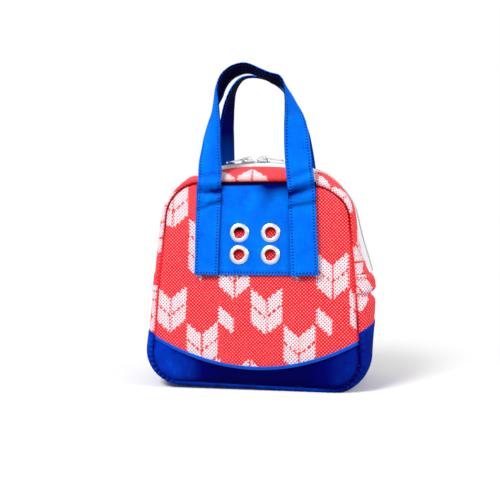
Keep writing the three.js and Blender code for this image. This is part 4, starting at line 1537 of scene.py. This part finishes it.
def fold_axis(facing):
    """The hinge of a handle, as seen from its own side of the bag."""
    out = CAD_PATCH_FROM[facing] + CAD_PATCH_THICKNESS + GAP + STRAP_THICKNESS + GAP / 2
    y = -half_depth(fold_height) - out * math.cos(wall_lean)
    z = SEAM_LIFT + fold_height * math.cos(wall_lean) + out * math.sin(wall_lean)
    return Vector((0, y, z))


def sewn_marks(facing, side):
    """The strap's middle from the patch's foot to just under the fold: place, turn and lean."""
    marks = []
    for step in range(SEWN_STEPS):
        share = step / (SEWN_STEPS - 1)
        s = SEWN_FOOT_HEIGHT + (SEWN_HEAD_HEIGHT - PATCH_FOOT_HEIGHT) * share
        low, high = SEWN_SLANT[facing, side]
        x = side * strap_centre + (low + (high - low) * share) * MM
        out = patch_out(facing, x, s) + SEWN_GAP + STRAP_THICKNESS / 2
        place = turned(facing, wall_point(facing, x, s, out))
        marks.append((*place, 0.0, wall_lean, SEWN_WIDTH[facing, side], 0.0))
    return marks


def handle_marks(facing):
    """The strap's middle over the handle's loop, in the same form."""
    rows = HANDLE_PATHS[facing]
    if facing < 0:
        rows = [(-row[0], *row[1:]) for row in reversed(rows)]
    lean = Matrix.Rotation(-HANDLE_LEAN[facing], 3, "X")
    out = (STRAP_THICKNESS + GAP) / 2
    marks = []
    for share, up, turn, tilt, width, cup in rows:
        local = Vector((share * strap_centre, out, GAP + up * HANDLE_RISE[facing]))
        place = fold_axis(facing) + lean @ local
        marks.append((*place, turn * math.pi / 2, math.radians(tilt), width, cup * MM))
    return marks


def curve_through(marks, steps):
    """A smooth curve through marks, each of several numbers."""
    rows = [marks[0], *marks, marks[-1]]
    places = []
    for i in range(1, len(rows) - 2):
        for step in range(steps):
            t = step / steps
            place = []
            for a, b, c, d in zip(rows[i - 1], rows[i], rows[i + 1], rows[i + 2]):
                ahead = (c - a) / 2
                after = (d - b) / 2
                cube = (2 * b - 2 * c + ahead + after) * t ** 3
                square = (3 * c - 3 * b - 2 * ahead - after) * t ** 2
                place.append(cube + square + ahead * t + b)
            places.append(place)
    places.append(list(marks[-1]))
    return places


class Route:
    """A strap's line, with its wide direction and its face at any length along it."""

    def __init__(self, facing):
        marks = sewn_marks(facing, -1) + handle_marks(facing) + sewn_marks(facing, 1)[::-1]
        dense = curve_through(marks, CURVE_STEPS)
        centres = [Vector(mark[:3]) for mark in dense]
        self.lengths = [0.0]
        for before, after in zip(centres, centres[1:]):
            self.lengths.append(self.lengths[-1] + (after - before).length)
        self.length = self.lengths[-1]
        self.frames = []
        for i, mark in enumerate(dense):
            ahead = (centres[min(i + 1, len(dense) - 1)] - centres[max(i - 1, 0)]).normalized()
            inward = Vector((0, math.cos(mark[4]), -math.sin(mark[4])))
            inward = (inward - ahead * inward.dot(ahead)).normalized()
            outside = ahead.cross(inward)
            turn = min(max(mark[3], 0), UP)
            wide = outside * math.cos(turn) + inward * math.sin(turn)
            face = outside * math.sin(turn) - inward * math.cos(turn)
            vectors = [turned(facing, v) for v in (centres[i], wide * mark[5], face, ahead)]
            self.frames.append([*vectors, Vector((mark[6], 0, 0))])

    def at(self, length):
        """Place, wide direction, face, forward direction and cup at a length."""
        low = 0
        high = len(self.lengths) - 1
        while high - low > 1:
            middle = (low + high) // 2
            if self.lengths[middle] <= length:
                low = middle
            else:
                high = middle
        share = (length - self.lengths[low]) / (self.lengths[high] - self.lengths[low])
        pairs = zip(self.frames[low], self.frames[high])
        return [before.lerp(after, share) for before, after in pairs]


routes = {facing: Route(facing) for facing, _ in FACINGS}
print("Each handle takes", round(routes[1].length / MM), "mm of strap")

# %% [markdown]
# The strap's cloth puffs a little between its two rows of stitches and is drawn in along them. Where
# it leaves the bag it creases across its width: a fold stands out over the seam with a hollow under
# it, which shows as a dark crease on the front, shaded by the lamps and by painted shade as well.
# Painted shade also darkens the strap's edges and its back. The creases differ from leg to leg.

# %% Straps and handles
EDGE_ROW = strap_half - ROW_INSET * MM
ROW_END = 2
STRAP_PUFF = 0.3 * MM
STRAP_GROOVE = 0.3 * MM
STRAP_GROOVE_REACH = 0.9 * MM
STRAP_RUMPLE = 0.25 * MM
BACK_CREASE_SHARE = 0.5
BACK_CREASE_SHADE = 0.6
# Painted shade on the strap's back, deepest near the top of the loop, by shares of its length
STRAP_BACK_SHADE = 0.78
STRAP_TOP_SHADE = 0.7
STRAP_TOP = 0.06
STRAP_TOP_FADE = 0.17
BEND_BELOW = 5 * MM
BEND_ABOVE = 7 * MM


def bump_at(place, middle, reach):
    """A smooth bump of 1 at the middle, in millimetres."""
    return math.exp(-((place / MM - middle) / reach) ** 2)


def crease_place(facing, across, length, leg):
    """Where a place is above the strap's fold, along its slanting creases."""
    route = routes[facing]
    from_foot = min(length, route.length - length)
    from_fold = from_foot - (fold_height - PATCH_FOOT_HEIGHT)
    wander = 1.5 * MM * noise.noise(Vector((across / (8 * MM), leg * 3.0, 1.0)))
    return from_fold + across * (0.03 if leg < 0 else -0.22) + wander


def crease(facing, across, length, leg):
    """How far the strap stands out of its line near its fold."""
    place = crease_place(facing, across, length, leg)
    roll = 3.0 * bump_at(place, 2, 5)
    hollow = 1.3 * bump_at(place, -6.5, 2.4)
    second = 1.1 * bump_at(place, -13, 4.5)
    third = 0.9 * bump_at(place, -20.5, 2)
    amount = roll - hollow + second - third * (1 if leg < 0 else 0.6)
    return amount * MM * (1 if facing > 0 else BACK_CREASE_SHARE)


def crease_shade(facing, across, length, leg):
    """Painted shade in the creases and along the strap's edges."""
    place = crease_place(facing, across, length, leg)
    outer = smooth(0.5 + 0.5 * across / strap_half)
    if leg < 0:
        first = bump_at(place, -6.5, 3.4 - 1.4 * outer) * (1.35 - 0.85 * outer)
    else:
        first = bump_at(place, -6.5, 5.5 - 2.5 * outer) * (1.1 - 0.5 * outer)
    slanted = place + across * (0.3 if leg < 0 else 0.1)
    second = 0.65 * bump_at(slanted, -20.5, 2.3)
    third = 0.3 * bump_at(place, 12, 3.5)
    side = 0.4 * smooth((abs(across) - strap_half + 0.9 * MM) / (0.9 * MM))
    return min(first + second + third + side, 1) * (1 if facing > 0 else BACK_CREASE_SHADE)


def strap_lift(facing, route, across, length, side, cup):
    """How far a strap's face stands out at a place. side is 1 on its face, -1 on its back."""
    edge = abs(across) / strap_half
    puff = STRAP_PUFF * (1 - edge ** 2)
    row = abs(abs(across) - EDGE_ROW)
    groove = STRAP_GROOVE * hump(row, 0, STRAP_GROOVE_REACH)
    rumple = STRAP_RUMPLE * noise.noise(Vector((across / (9 * MM), length / (13 * MM), 2.2 * facing)))
    leg = -1 if length < route.length / 2 else 1
    cupped = cup * (0.5 - edge ** 2)
    return side * (puff - groove) + rumple + cupped + crease(facing, across, length, leg)


def strap_face(facing, route, across, length, side):
    """A place on the strap's face or back, its forward direction and its outward one."""
    centre, wide, face, ahead, cup = route.at(length)
    lift = side * STRAP_THICKNESS / 2 + strap_lift(facing, route, across, length, side, cup.x)
    return centre + wide * across + face * lift, ahead, face * side


def strap(facing, end):
    """A whole length of strap, with painted shade on its back."""
    route = routes[facing]
    edge = EDGE_ROW / MM
    far = route.length / MM
    rows = [("along", row, ROW_END, far - ROW_END) for row in (edge, -edge)]
    rows += [("across", row, -edge, edge) for row in (ROW_INSET, far - ROW_INSET)]
    finish = canvas(f"{end}_strap_canvas", BRIGHT_BLUE, MID_BLUE, LIGHT_BLUE, rows=rows)

    def point(across, length, depth):
        side = 1 - 2 * depth / STRAP_THICKNESS
        return strap_face(facing, route, across, length, side)[0]

    def shade(across, length, under):
        if under:
            from_middle = abs(length / route.length - 0.5)
            return STRAP_BACK_SHADE + STRAP_TOP_SHADE * smooth(
                1 - (from_middle - STRAP_TOP) / STRAP_TOP_FADE)
        leg = -1 if length < route.length / 2 else 1
        return crease_shade(facing, across, length, leg)

    us = spread(-strap_half, strap_half, 26, STRAP_THICKNESS)
    vs = spread(0, route.length, int(route.length / ROUTE_STEP), STRAP_THICKNESS)
    made = sheet(
        f"{end}_strap_canvas_piece", finish, point, us, vs, STRAP_THICKNESS,
        laid=lambda across, length: (across, length), shade=shade)
    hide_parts(f"{end}_handle", f"{end}_strap_left", f"{end}_strap_right")
    return made


def bend_at_fold(piece, facing, end):
    """Bakes the piece's place into its mesh. The hinge's heights are worked out, but nothing is bent.
    """
    axis = turned(facing, fold_axis(facing))
    start = axis - Vector((0, 0, BEND_BELOW))
    finish_at = axis + Vector((0, 0, BEND_ABOVE))
    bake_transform(piece)


for facing, end in FACINGS:
    made = strap(facing, end)
    bend_at_fold(made, facing, end)
    print(made.name, "has", len(made.data.polygons), "faces")

# %% [markdown]
# Machine stitches are short lengths of thread that dip into the cloth at both ends. Each is a small
# lens-shaped body laid along its row, so it throws its own tiny shadow. All the stitches of one
# part are one mesh, and those of the patch and the band ride on the bag.

# %% Stitches
STITCH_LENGTH = 1.7 * MM
THREAD_RADIUS = 0.3 * MM
STITCH_RINGS = ((-1, 0.25), (-0.6, 0.85), (0, 1), (0.6, 0.85), (1, 0.25))
STITCH_SIDES = 6
STITCH_SINK = 0.75
STITCH_LIFT = 0.4
STITCH_FLATNESS = 0.8
STITCH_MAP = (0.4, 0.3)
FOLD_ROW = FOLD_WIDTH - 0.7 * MM
FOLD_ROW_END = 3 * MM
FOLD_ROW_LIFT = 0.78 * MM
out_of_wall = Vector((0, -math.cos(wall_lean), math.sin(wall_lean)))
up_the_wall = Vector((0, math.sin(wall_lean), math.cos(wall_lean)))


def thread_finish(name, main, light):
    """Twisted thread, with a painted highlight on each ply in turn."""
    finish = Finish(name)
    across, along = finish.cloth()
    ply = finish.wave(along + across * 2, 0.5)
    ply_highlight = finish.mix(ply * 0.6, main, light)
    return finish.surface(
        Base_Color=ply_highlight, Roughness=0.55 + ply * 0.1, Normal=finish.bump(ply, 0.06 * MM, 0.6))


blue_thread = thread_finish("blue_thread", colour(0, 96, 222), colour(40, 140, 245))
dark_thread = thread_finish("dark_blue_thread", colour(0, 60, 175), colour(20, 96, 215))


def stitches(name, finish, places):
    """Stitches at places, each with its forward and outward directions."""
    build = bmesh.new()
    flat = build.loops.layers.uv.new("Cloth")
    for place, ahead, out in places:
        side = ahead.cross(out).normalized()
        rings = []
        for share, girth in STITCH_RINGS:
            sink = STITCH_SINK * THREAD_RADIUS * abs(share) ** 3
            lift = out * (THREAD_RADIUS * STITCH_LIFT - sink)
            middle = place + ahead * share * STITCH_LENGTH / 2 + lift
            ring = []
            for k in range(STITCH_SIDES):
                angle = 2 * math.pi * k / STITCH_SIDES
                round_it = out * math.cos(angle) * STITCH_FLATNESS + side * math.sin(angle)
                ring.append(build.verts.new(middle + round_it * THREAD_RADIUS * girth))
            rings.append(ring)
        for i in range(len(rings) - 1):
            for k in range(STITCH_SIDES):
                after = (k + 1) % STITCH_SIDES
                corners = (rings[i][k], rings[i][after], rings[i + 1][after], rings[i + 1][k])
                face = build.faces.new(corners)
                face.smooth = True
                for loop, (a, b) in zip(face.loops, ((0, 0), (0, 1), (1, 1), (1, 0))):
                    loop[flat].uv = ((i + a) * STITCH_MAP[0] * MM, (k + b) * STITCH_MAP[1] * MM)
        build.faces.new(rings[0])
        build.faces.new(list(reversed(rings[-1])))
    bmesh.ops.recalc_face_normals(build, faces=build.faces)
    return piece_from(name, build, finish)


def beats(start, end):
    """The middles of stitches between two lengths, half a pitch after each needle hole."""
    pitch = STITCH_PITCH * MM
    first = math.ceil(start / pitch)
    last = math.floor(end / pitch)
    return [pitch * (beat + 0.25) for beat in range(first, last)]


def strap_stitches(facing, end):
    """Both rows along each side of a strap, and the rows across its ends."""
    route = routes[facing]
    places = []
    for side in (1, -1):
        for row in (EDGE_ROW, -EDGE_ROW):
            for length in beats(ROW_END * MM, route.length - ROW_END * MM):
                places.append(strap_face(facing, route, row, length, side))
    for length in (ROW_INSET * MM, route.length - ROW_INSET * MM):
        for across in beats(-EDGE_ROW, EDGE_ROW):
            place, _, out = strap_face(facing, route, across, length, 1)
            places.append((place, route.at(length)[1].normalized(), out))
    made = stitches(f"{end}_strap_stitching", blue_thread, places)
    bend_at_fold(made, facing, end)
    return len(places)


def patch_stitches(facing, end):
    """The row along the patch's foot, between the straps."""
    places = []
    s = PATCH_FOOT_HEIGHT + ROW_INSET * MM
    edge = strap_centre - strap_half
    for x in beats(-edge, edge):
        place = wall_point(facing, x, s, patch_out(facing, x, s))
        places.append((place, turned(facing, Vector((1, 0, 0))), turned(facing, out_of_wall)))
    return on_bag(stitches(f"{end}_patch_stitching", blue_thread, places), "handle_canvas")


def fold_stitches(facing, end):
    """The row along the band's fold."""
    places = []
    for x in beats(-band_edge + FOLD_ROW_END, band_edge - FOLD_ROW_END):
        row_x, row_s = fold_place(x, FOLD_ROW)
        ahead = Vector(fold_place(x + MM, 0)) - Vector(fold_place(x - MM, 0))
        ahead = Vector((ahead.x, ahead.y * math.sin(wall_lean), ahead.y * math.cos(wall_lean)))
        out = stands_out(facing, row_x, row_s) + BAND_LIFT + BAND_THICKNESS + FOLD_ROW_LIFT
        place = wall_point(facing, row_x, row_s, out)
        places.append((place, turned(facing, ahead.normalized()), turned(facing, out_of_wall)))
    return on_bag(stitches(f"{end}_band_stitching", dark_thread, places), "base_canvas")


for facing, end in FACINGS:
    print(f"The {end} handle has", strap_stitches(facing, end), "stitches")
    patch_stitches(facing, end)
    fold_stitches(facing, end)

# %% [markdown]
# Bright plated metal shows its surroundings more than a colour of its own. Its roughness wanders a
# little, as plating does when it is handled, and faint scuffs break the shine. A fine dark bloom in
# the roughness is enough, so no scratch is modelled.

# %% Silver metal
silver = Finish("silver_plate")
spot = silver.node("ShaderNodeTexCoord", None, None, 3)
bloom = silver.clouds(spot, 260.0, 4.0, 0.6)
brush = silver.clouds(spot, 1400.0, 2.0)
plate_colour = silver.mix(bloom, colour(206, 210, 214), colour(242, 244, 245))
# Painted shade from the mesh: darker in the bore, in the brim's groove and under the brim
plate_colour = silver.mix(silver.shade(), plate_colour, colour(96, 100, 108))
silver_finish = silver.surface(
    Base_Color=plate_colour, Metallic=1.0, Roughness=0.16 + bloom * 0.2,
    Normal=silver.bump(brush, 0.004 * MM, 0.25))
print("Metal is ready")

# %% [markdown]
# An eyelet is pressed from one disc of metal: a barrel goes through the cloth and its brim is rolled
# out over the face. A washer behind takes the barrel's spread end. Both are turned shapes, so a
# profile is spun about their axis. Each is set square to the patch at its own place, with a slight
# tilt, as a hand press leaves it.

# %% Eyelets and washers
EYELET_SIDES = 64
WASHER_LIFT = 0.32 * MM
EYELET_PROFILE = [
    (5.5, -1.9), (5.5, 0.5), (5.56, 0.95), (5.8, 1.35), (6.2, 1.62), (6.8, 1.74), (7.5, 1.68),
    (8.1, 1.48), (8.4, 1.28), (8.6, 1.1), (8.8, 1.05), (9.1, 1.0), (9.5, 0.7), (9.8, 0.4),
    (9.95, 0.2), (10.0, 0.06), (9.9, -0.08), (9.4, -0.05),
    (6.3, 0.1), (6.0, -0.3), (5.95, -1.9),
]
WASHER_PROFILE = [
    (6.1, -0.12), (6.2, 0.1), (6.5, 0.2), (8.9, 0.2), (9.35, 0.12), (9.5, -0.05), (9.35, -0.2),
    (8.9, -0.25), (6.5, -0.25), (6.2, -0.2),
]


def ring_shade(radius, angle):
    """Painted shade in the brim's groove, most on its lower side, in the bore and under the brim's
    edge.
    """
    groove = hump(radius, 8.65, 0.35) * (0.42 - 0.34 * math.sin(angle))
    return 0.85 * smooth((6.0 - radius) / 0.7) + 0.55 * ramp(radius, 9.3, 0.5) + groove


def spun(name, finish, profile, matrix):
    """A ring spun from a closed profile of (radius, height), in millimetres."""
    build = bmesh.new()
    deep = build.verts.layers.float.new("Shade")
    rings = []
    for k in range(EYELET_SIDES):
        angle = 2 * math.pi * k / EYELET_SIDES
        ring = []
        for radius, height in profile:
            local = Vector((radius * math.cos(angle), radius * math.sin(angle), height)) * MM
            vert = build.verts.new(matrix @ local)
            vert[deep] = ring_shade(radius, angle)
            ring.append(vert)
        rings.append(ring)
    count = len(profile)
    for k in range(EYELET_SIDES):
        ring = rings[k]
        after = rings[(k + 1) % EYELET_SIDES]
        for i in range(count):
            j = (i + 1) % count
            face = build.faces.new((ring[i], after[i], after[j], ring[j]))
            face.smooth = True
    bmesh.ops.recalc_face_normals(build, faces=build.faces)
    return piece_from(name, build, finish)


def standing_on(place, out, up):
    """A matrix whose Z is out and whose Y is close to up."""
    z = out.normalized()
    x = up.cross(z).normalized()
    y = z.cross(x)
    return Matrix.Translation(place) @ Matrix((x, y, z)).transposed().to_4x4()


EYELET_TILTS = ((0.02, -0.015), (-0.03, 0.01), (0.015, 0.03), (-0.02, -0.02))
for index, ((x, s), (tilt_x, tilt_s)) in enumerate(zip(eyelet_places, EYELET_TILTS), 1):
    seat = patch_out(1, x, s)
    out = out_of_wall + Vector((tilt_x, 0, 0)) + up_the_wall * tilt_s
    ring_at = standing_on(wall_point(1, x, s, seat), out, up_the_wall)
    ring = spun(f"eyelet_{index}_ring", silver_finish, EYELET_PROFILE, ring_at)
    on_bag(ring, "silver_metal", f"eyelet_{index}")
    behind = wall_point(1, x, s, stands_out(1, x, s) + WASHER_LIFT)
    washer_at = standing_on(behind, out_of_wall, up_the_wall)
    washer = spun(f"eyelet_{index}_washer", silver_finish, WASHER_PROFILE, washer_at)
    on_bag(washer, "silver_metal", f"eyelet_washer_{index}")

# %% [markdown]
# Through each hole the panel's cloth shows, and the upper part of it lies in the rim's own shade.
# The panel's mesh already carries a number for painted shade, so it is only raised there.

# %% Shade in the holes
HOLE_SHADES = (1.3, 0.6, 0.6, 0.5)
HOLE_SHADE_ALL_OVER = 0.3
HOLE_SHADE_FADE = 7 * MM
HOLE_SHADE_START = -2.5 * MM
HOLE_SHADE_REACH = EYELET_BORE + 1 * MM
front_cloth = bpy.data.objects["front_panel_cloth"].data
shaded = front_cloth.attributes["Shade"].data
for (x, s), strength in zip(eyelet_places, HOLE_SHADES):
    middle = wall_point(1, x, s, stands_out(1, x, s))
    for vertex in front_cloth.vertices:
        away = vertex.co - middle
        if away.length < HOLE_SHADE_REACH:
            under_rim = ramp(away.dot(up_the_wall), HOLE_SHADE_START, HOLE_SHADE_FADE)
            depth = HOLE_SHADE_ALL_OVER + strength * under_rim
            shaded[vertex.index].value = max(shaded[vertex.index].value, depth)
print("Four eyelets of", 2 * EYELET_BRIM / MM, "mm are set")

# %% [markdown]
# A slider is a small casting: a body with a channel over the coils, and a bridge that holds the
# pull. The two meet head to head at the top. Each body is a channel section swept along the zip and
# narrowed at its ends, and the bridge is a bar bent in an arch. Bevels round every edge, as casting
# does. They ride on their own bodies, so they can travel along the zip.

# %% Sliders
SLIDER_SPACING = 17 * MM
SLIDER_OFFSET = -4 * MM
SLIDER_HALF_LENGTH = 7 * MM
SLIDER_HALF_WIDTH = 5 * MM
SLIDER_SECTION = [
    (1.0, 0.4), (1.0, 2.2), (0.9, 2.85), (0.62, 3.2), (0.25, 3.35), (-0.25, 3.35), (-0.62, 3.2),
    (-0.9, 2.85), (-1.0, 2.2), (-1.0, 0.4), (-0.7, 0.4), (-0.7, 1.8), (0.7, 1.8), (0.7, 0.4),
]
SLIDER_STATIONS = [
    (-1.0, 0.55), (-0.93, 0.72), (-0.8, 0.86), (-0.55, 0.96), (-0.2, 1.0), (0.2, 1.0), (0.5, 0.94),
    (0.75, 0.82), (0.92, 0.66), (1.0, 0.52),
]
BRIDGE_REACH = 7.0 * MM
BRIDGE_FOOT = 2.9 * MM
BRIDGE_RISE = 3.7 * MM
BRIDGE_THICKNESS = 1.1 * MM
BRIDGE_HALF_WIDTH = 1.55 * MM
BRIDGE_STEPS = 20
BRIDGE_FLARE = 0.5
SLIDER_CROWN_FROM = 2
SLIDER_CROWN_DROP = 0.5 * MM
SHARP_ANGLE = math.radians(35)
SLIDER_BEVEL = 0.22 * MM
zip_arc_centre = SEAM_LIFT + PANEL_HEIGHT * math.cos(wall_lean) + SEAM_GAP + TOP_BULGE
zip_arc_centre = zip_arc_centre - TAPE_RECESS - TOP_ARC_RADIUS


def slider_seat(side):
    """A slider's place on the zip's arc. The left one is turned half round."""
    angle = (SLIDER_OFFSET + side * SLIDER_SPACING / 2) / TOP_ARC_RADIUS
    seat = Matrix.Translation((0, 0, zip_arc_centre)) @ Matrix.Rotation(angle, 4, "Y")
    seat = seat @ Matrix.Translation((0, 0, TOP_ARC_RADIUS))
    return seat if side > 0 else seat @ Matrix.Rotation(math.pi, 4, "Z")


def ringed(build, rings):
    """Faces between rings of places, with a cap at both ends."""
    verts = [[build.verts.new(place) for place in ring] for ring in rings]
    count = len(rings[0])
    for before, after in zip(verts, verts[1:]):
        for k in range(count):
            j = (k + 1) % count
            build.faces.new((before[k], after[k], after[j], before[j]))
    build.faces.new(list(reversed(verts[0])))
    build.faces.new(verts[-1])


def cast_piece(name, build, seat, edge):
    """Rounds the edges, puts the piece in its place and gives it the metal finish."""
    bmesh.ops.recalc_face_normals(build, faces=build.faces)
    sharp = [e for e in build.edges if e.is_manifold and e.calc_face_angle() > SHARP_ANGLE]
    bmesh.ops.bevel(build, geom=sharp, offset=edge, segments=3, profile=0.5, affect="EDGES")
    for face in build.faces:
        face.smooth = True
    build.transform(seat)
    return piece_from(name, build, silver_finish)


def slider(label, side):
    """A slider's body and the bridge over it."""
    build = bmesh.new()
    rings = []
    for station, narrow in SLIDER_STATIONS:
        x = station * SLIDER_HALF_LENGTH
        ring = []
        for across, up in SLIDER_SECTION:
            drop = SLIDER_CROWN_DROP * (1 - narrow) if up > SLIDER_CROWN_FROM else 0
            ring.append(Vector((x, across * SLIDER_HALF_WIDTH * narrow, up * MM - drop)))
        rings.append(ring)
    ringed(build, rings)
    arch = []
    for step in range(BRIDGE_STEPS + 1):
        angle = math.pi * step / BRIDGE_STEPS
        width = BRIDGE_HALF_WIDTH * (1 + BRIDGE_FLARE * math.cos(angle) ** 4)
        ring = []
        for out, across in ((1, 1), (1, -1), (0, -1), (0, 1)):
            reach = BRIDGE_REACH - (0 if out else BRIDGE_THICKNESS)
            rise = BRIDGE_RISE - (0 if out else BRIDGE_THICKNESS)
            place = (-reach * math.cos(angle), across * width, BRIDGE_FOOT + rise * math.sin(angle))
            ring.append(Vector(place))
        arch.append(ring)
    ringed(build, arch)
    piece = cast_piece(f"slider_{label}_casting", build, slider_seat(side), SLIDER_BEVEL)
    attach(piece, f"slider_{label}")
    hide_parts(f"slider_{label}")
    return piece


print("The sliders meet", round(-SLIDER_OFFSET / MM), "mm left of the middle")

# %% [markdown]
# A pull is a flat tab with an eye for the slider's bridge, and it droops a little towards its end.
# Its outline is given for one side and mirrored. As many places lie round the eye as round the
# outline, so plain faces can join the two. Both sliders are made with their pulls.

# %% Pulls
PULL_PIVOT = 4.5 * MM
PULL_THICKNESS = 1.2 * MM
PULL_DROOP = 3.3 * MM
PULL_DROOP_CURVE = 1.05
PULL_BEVEL = 0.25 * MM
# The pull's half widths along its length, from the cross-bar in the bridge to its rounded end
PULL_OUTLINE = [
    (-0.7, 2.6), (0.0, 3.1), (1.0, 3.3), (3.0, 3.4), (6.0, 3.0), (8.2, 2.5), (10.0, 2.35),
    (13.0, 2.7), (17.0, 3.2), (20.5, 3.4), (22.4, 3.0), (23.5, 2.0), (24.0, 0.8),
]
PULL_EYE_FROM = 0.8
PULL_EYE_TO = 6.8
PULL_EYE_HALF = 1.9


def rounded_loop(start, end, half, count):
    """A rounded rectangle's places, from its left end, as many as asked."""
    places = []
    middle = (start + end) / 2
    reach = (end - start) / 2
    for k in range(count):
        angle = math.pi - 2 * math.pi * k / count
        c = math.cos(angle)
        s = math.sin(angle)
        x = middle + reach * math.copysign(abs(c) ** 0.5, c)
        y = half * math.copysign(abs(s) ** 0.5, s)
        places.append((x, y))
    return places


def pull(label, side):
    """A pull, hung in its slider's bridge."""
    build = bmesh.new()
    outer = PULL_OUTLINE + [(x, -half) for x, half in reversed(PULL_OUTLINE)]
    count = len(outer)
    inner = rounded_loop(PULL_EYE_FROM, PULL_EYE_TO, PULL_EYE_HALF, count)
    layers = {}
    for level in (1, -1):
        z = level * PULL_THICKNESS / 2
        layers[level] = [
            [build.verts.new((x * MM, y * MM, z)) for x, y in loop] for loop in (outer, inner)]
    for k in range(count):
        j = (k + 1) % count
        for loop in (0, 1):
            top, low = layers[1][loop], layers[-1][loop]
            build.faces.new((top[k], top[j], low[j], low[k]))
        for level in (1, -1):
            rim, eye = layers[level]
            build.faces.new((rim[k], rim[j], eye[j], eye[k]))
    for vert in build.verts:
        share = max(vert.co.x / (PULL_OUTLINE[-1][0] * MM), 0)
        vert.co.z -= PULL_DROOP * share ** PULL_DROOP_CURVE
    seat = slider_seat(side) @ Matrix.Translation((0, 0, PULL_PIVOT))
    piece = cast_piece(f"pull_{label}_tab", build, seat, PULL_BEVEL)
    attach(piece, f"pull_{label}")
    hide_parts(f"pull_{label}")
    return piece


for side, label in SIDES:
    slider(label, side)
    pull(label, side)
print("A pull is", PULL_OUTLINE[-1][0], "mm long")

# %% [markdown]
# The bag stands on a plain pale floor under soft studio light, with a large lamp high on the left
# and a weaker one on the right. The floor's near part keeps the bag's shadow. Further off it fades
# to the white of the backdrop for the camera only, so no extra light falls on the bag.

# %% Floor, backdrop and lamps
FLOOR_HALF = 6.0
SHADOW_NEAR = 0.10
SHADOW_FAR = 0.42
FLOOR_CELLS = 24
FLOOR_DROP = 0.2 * MM
WORLD_LEVEL = 0.42
WHITE = (1, 1, 1, 1)
BAG_MIDDLE = (0, 0, 0.13)
# Each lamp's name, place, width in metres and power in watts
LAMPS = (
    ("key_lamp", (-0.75, -0.95, 1.35), 0.65, 27.5),
    ("fill_lamp", (1.5, -0.4, 0.95), 0.8, 14.5),
)

floor_build = bmesh.new()
bmesh.ops.create_grid(
    floor_build, x_segments=FLOOR_CELLS, y_segments=FLOOR_CELLS, size=FLOOR_HALF)
paper = Finish("studio_paper")
spot = paper.node("ShaderNodeTexCoord", None, None, 3)
east = paper.node("ShaderNodeSeparateXYZ", None, {0: spot})
north = east.other(1)
distance = (east * east + north * north).math("SQRT")
far = paper.step(distance, SHADOW_NEAR, SHADOW_FAR)
rays = paper.node("ShaderNodeLightPath")
seen = rays.math("MAXIMUM", rays.other("Is Glossy Ray"))
paper_colour = paper.mix(seen, colour(150, 150, 152), colour(250, 250, 250))
tooth = paper.clouds(spot, 900.0)
paper_finish = paper.surface(
    Base_Color=paper_colour, Roughness=0.85, Normal=paper.bump(tooth, 0.05 * MM, 0.3))
glow = paper.node("ShaderNodeEmission", None, {"Color": WHITE, "Strength": 1.0})
lit = Wire(paper, paper.shader.outputs[0])
mixed = paper.node("ShaderNodeMixShader", None, {0: far * seen, 1: lit, 2: glow})
paper.feed(paper.tree.nodes["Material Output"].inputs["Surface"], mixed)
floor = piece_from("studio_floor", floor_build, paper_finish)
floor.location.z = -FLOOR_DROP
floor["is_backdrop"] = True

world = bpy.data.worlds.new("studio")
bpy.context.scene.world = world
world.use_nodes = True
sky = Network(world.node_tree)
background = sky.tree.nodes["Background"]
rays = sky.node("ShaderNodeLightPath")
seen = rays.math("MAXIMUM", rays.other("Is Glossy Ray"))
sky.feed(background.inputs["Color"], WHITE)
sky.feed(background.inputs["Strength"], seen * (1 - WORLD_LEVEL) + WORLD_LEVEL)


def lamp(name, place, width, power):
    """A round lamp that looks at the bag's middle."""
    light = bpy.data.lights.new(name, "AREA")
    light.shape = "DISK"
    light.size = width
    light.energy = power
    made = bpy.data.objects.new(name, light)
    bpy.context.scene.collection.objects.link(made)
    aim = (Vector(place) - Vector(BAG_MIDDLE)).to_track_quat("Z", "Y")
    made.matrix_world = Matrix.Translation(place) @ aim.to_matrix().to_4x4()


for row in LAMPS:
    lamp(*row)

view = bpy.context.scene.view_settings
view.view_transform = "Standard"
print("The stage is set")

# %% [markdown]
# At the end the bag's own box is measured again and printed beside the CAD's. The cloth may
# stand a little proud of the CAD model, and no more.

# %% Measure the boxes
visual_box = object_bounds()
for name, box in (("CAD", cad_box), ("visual", visual_box)):
    print(name, "box in mm", [[round(value / MM, 1) for value in corner] for corner in box])
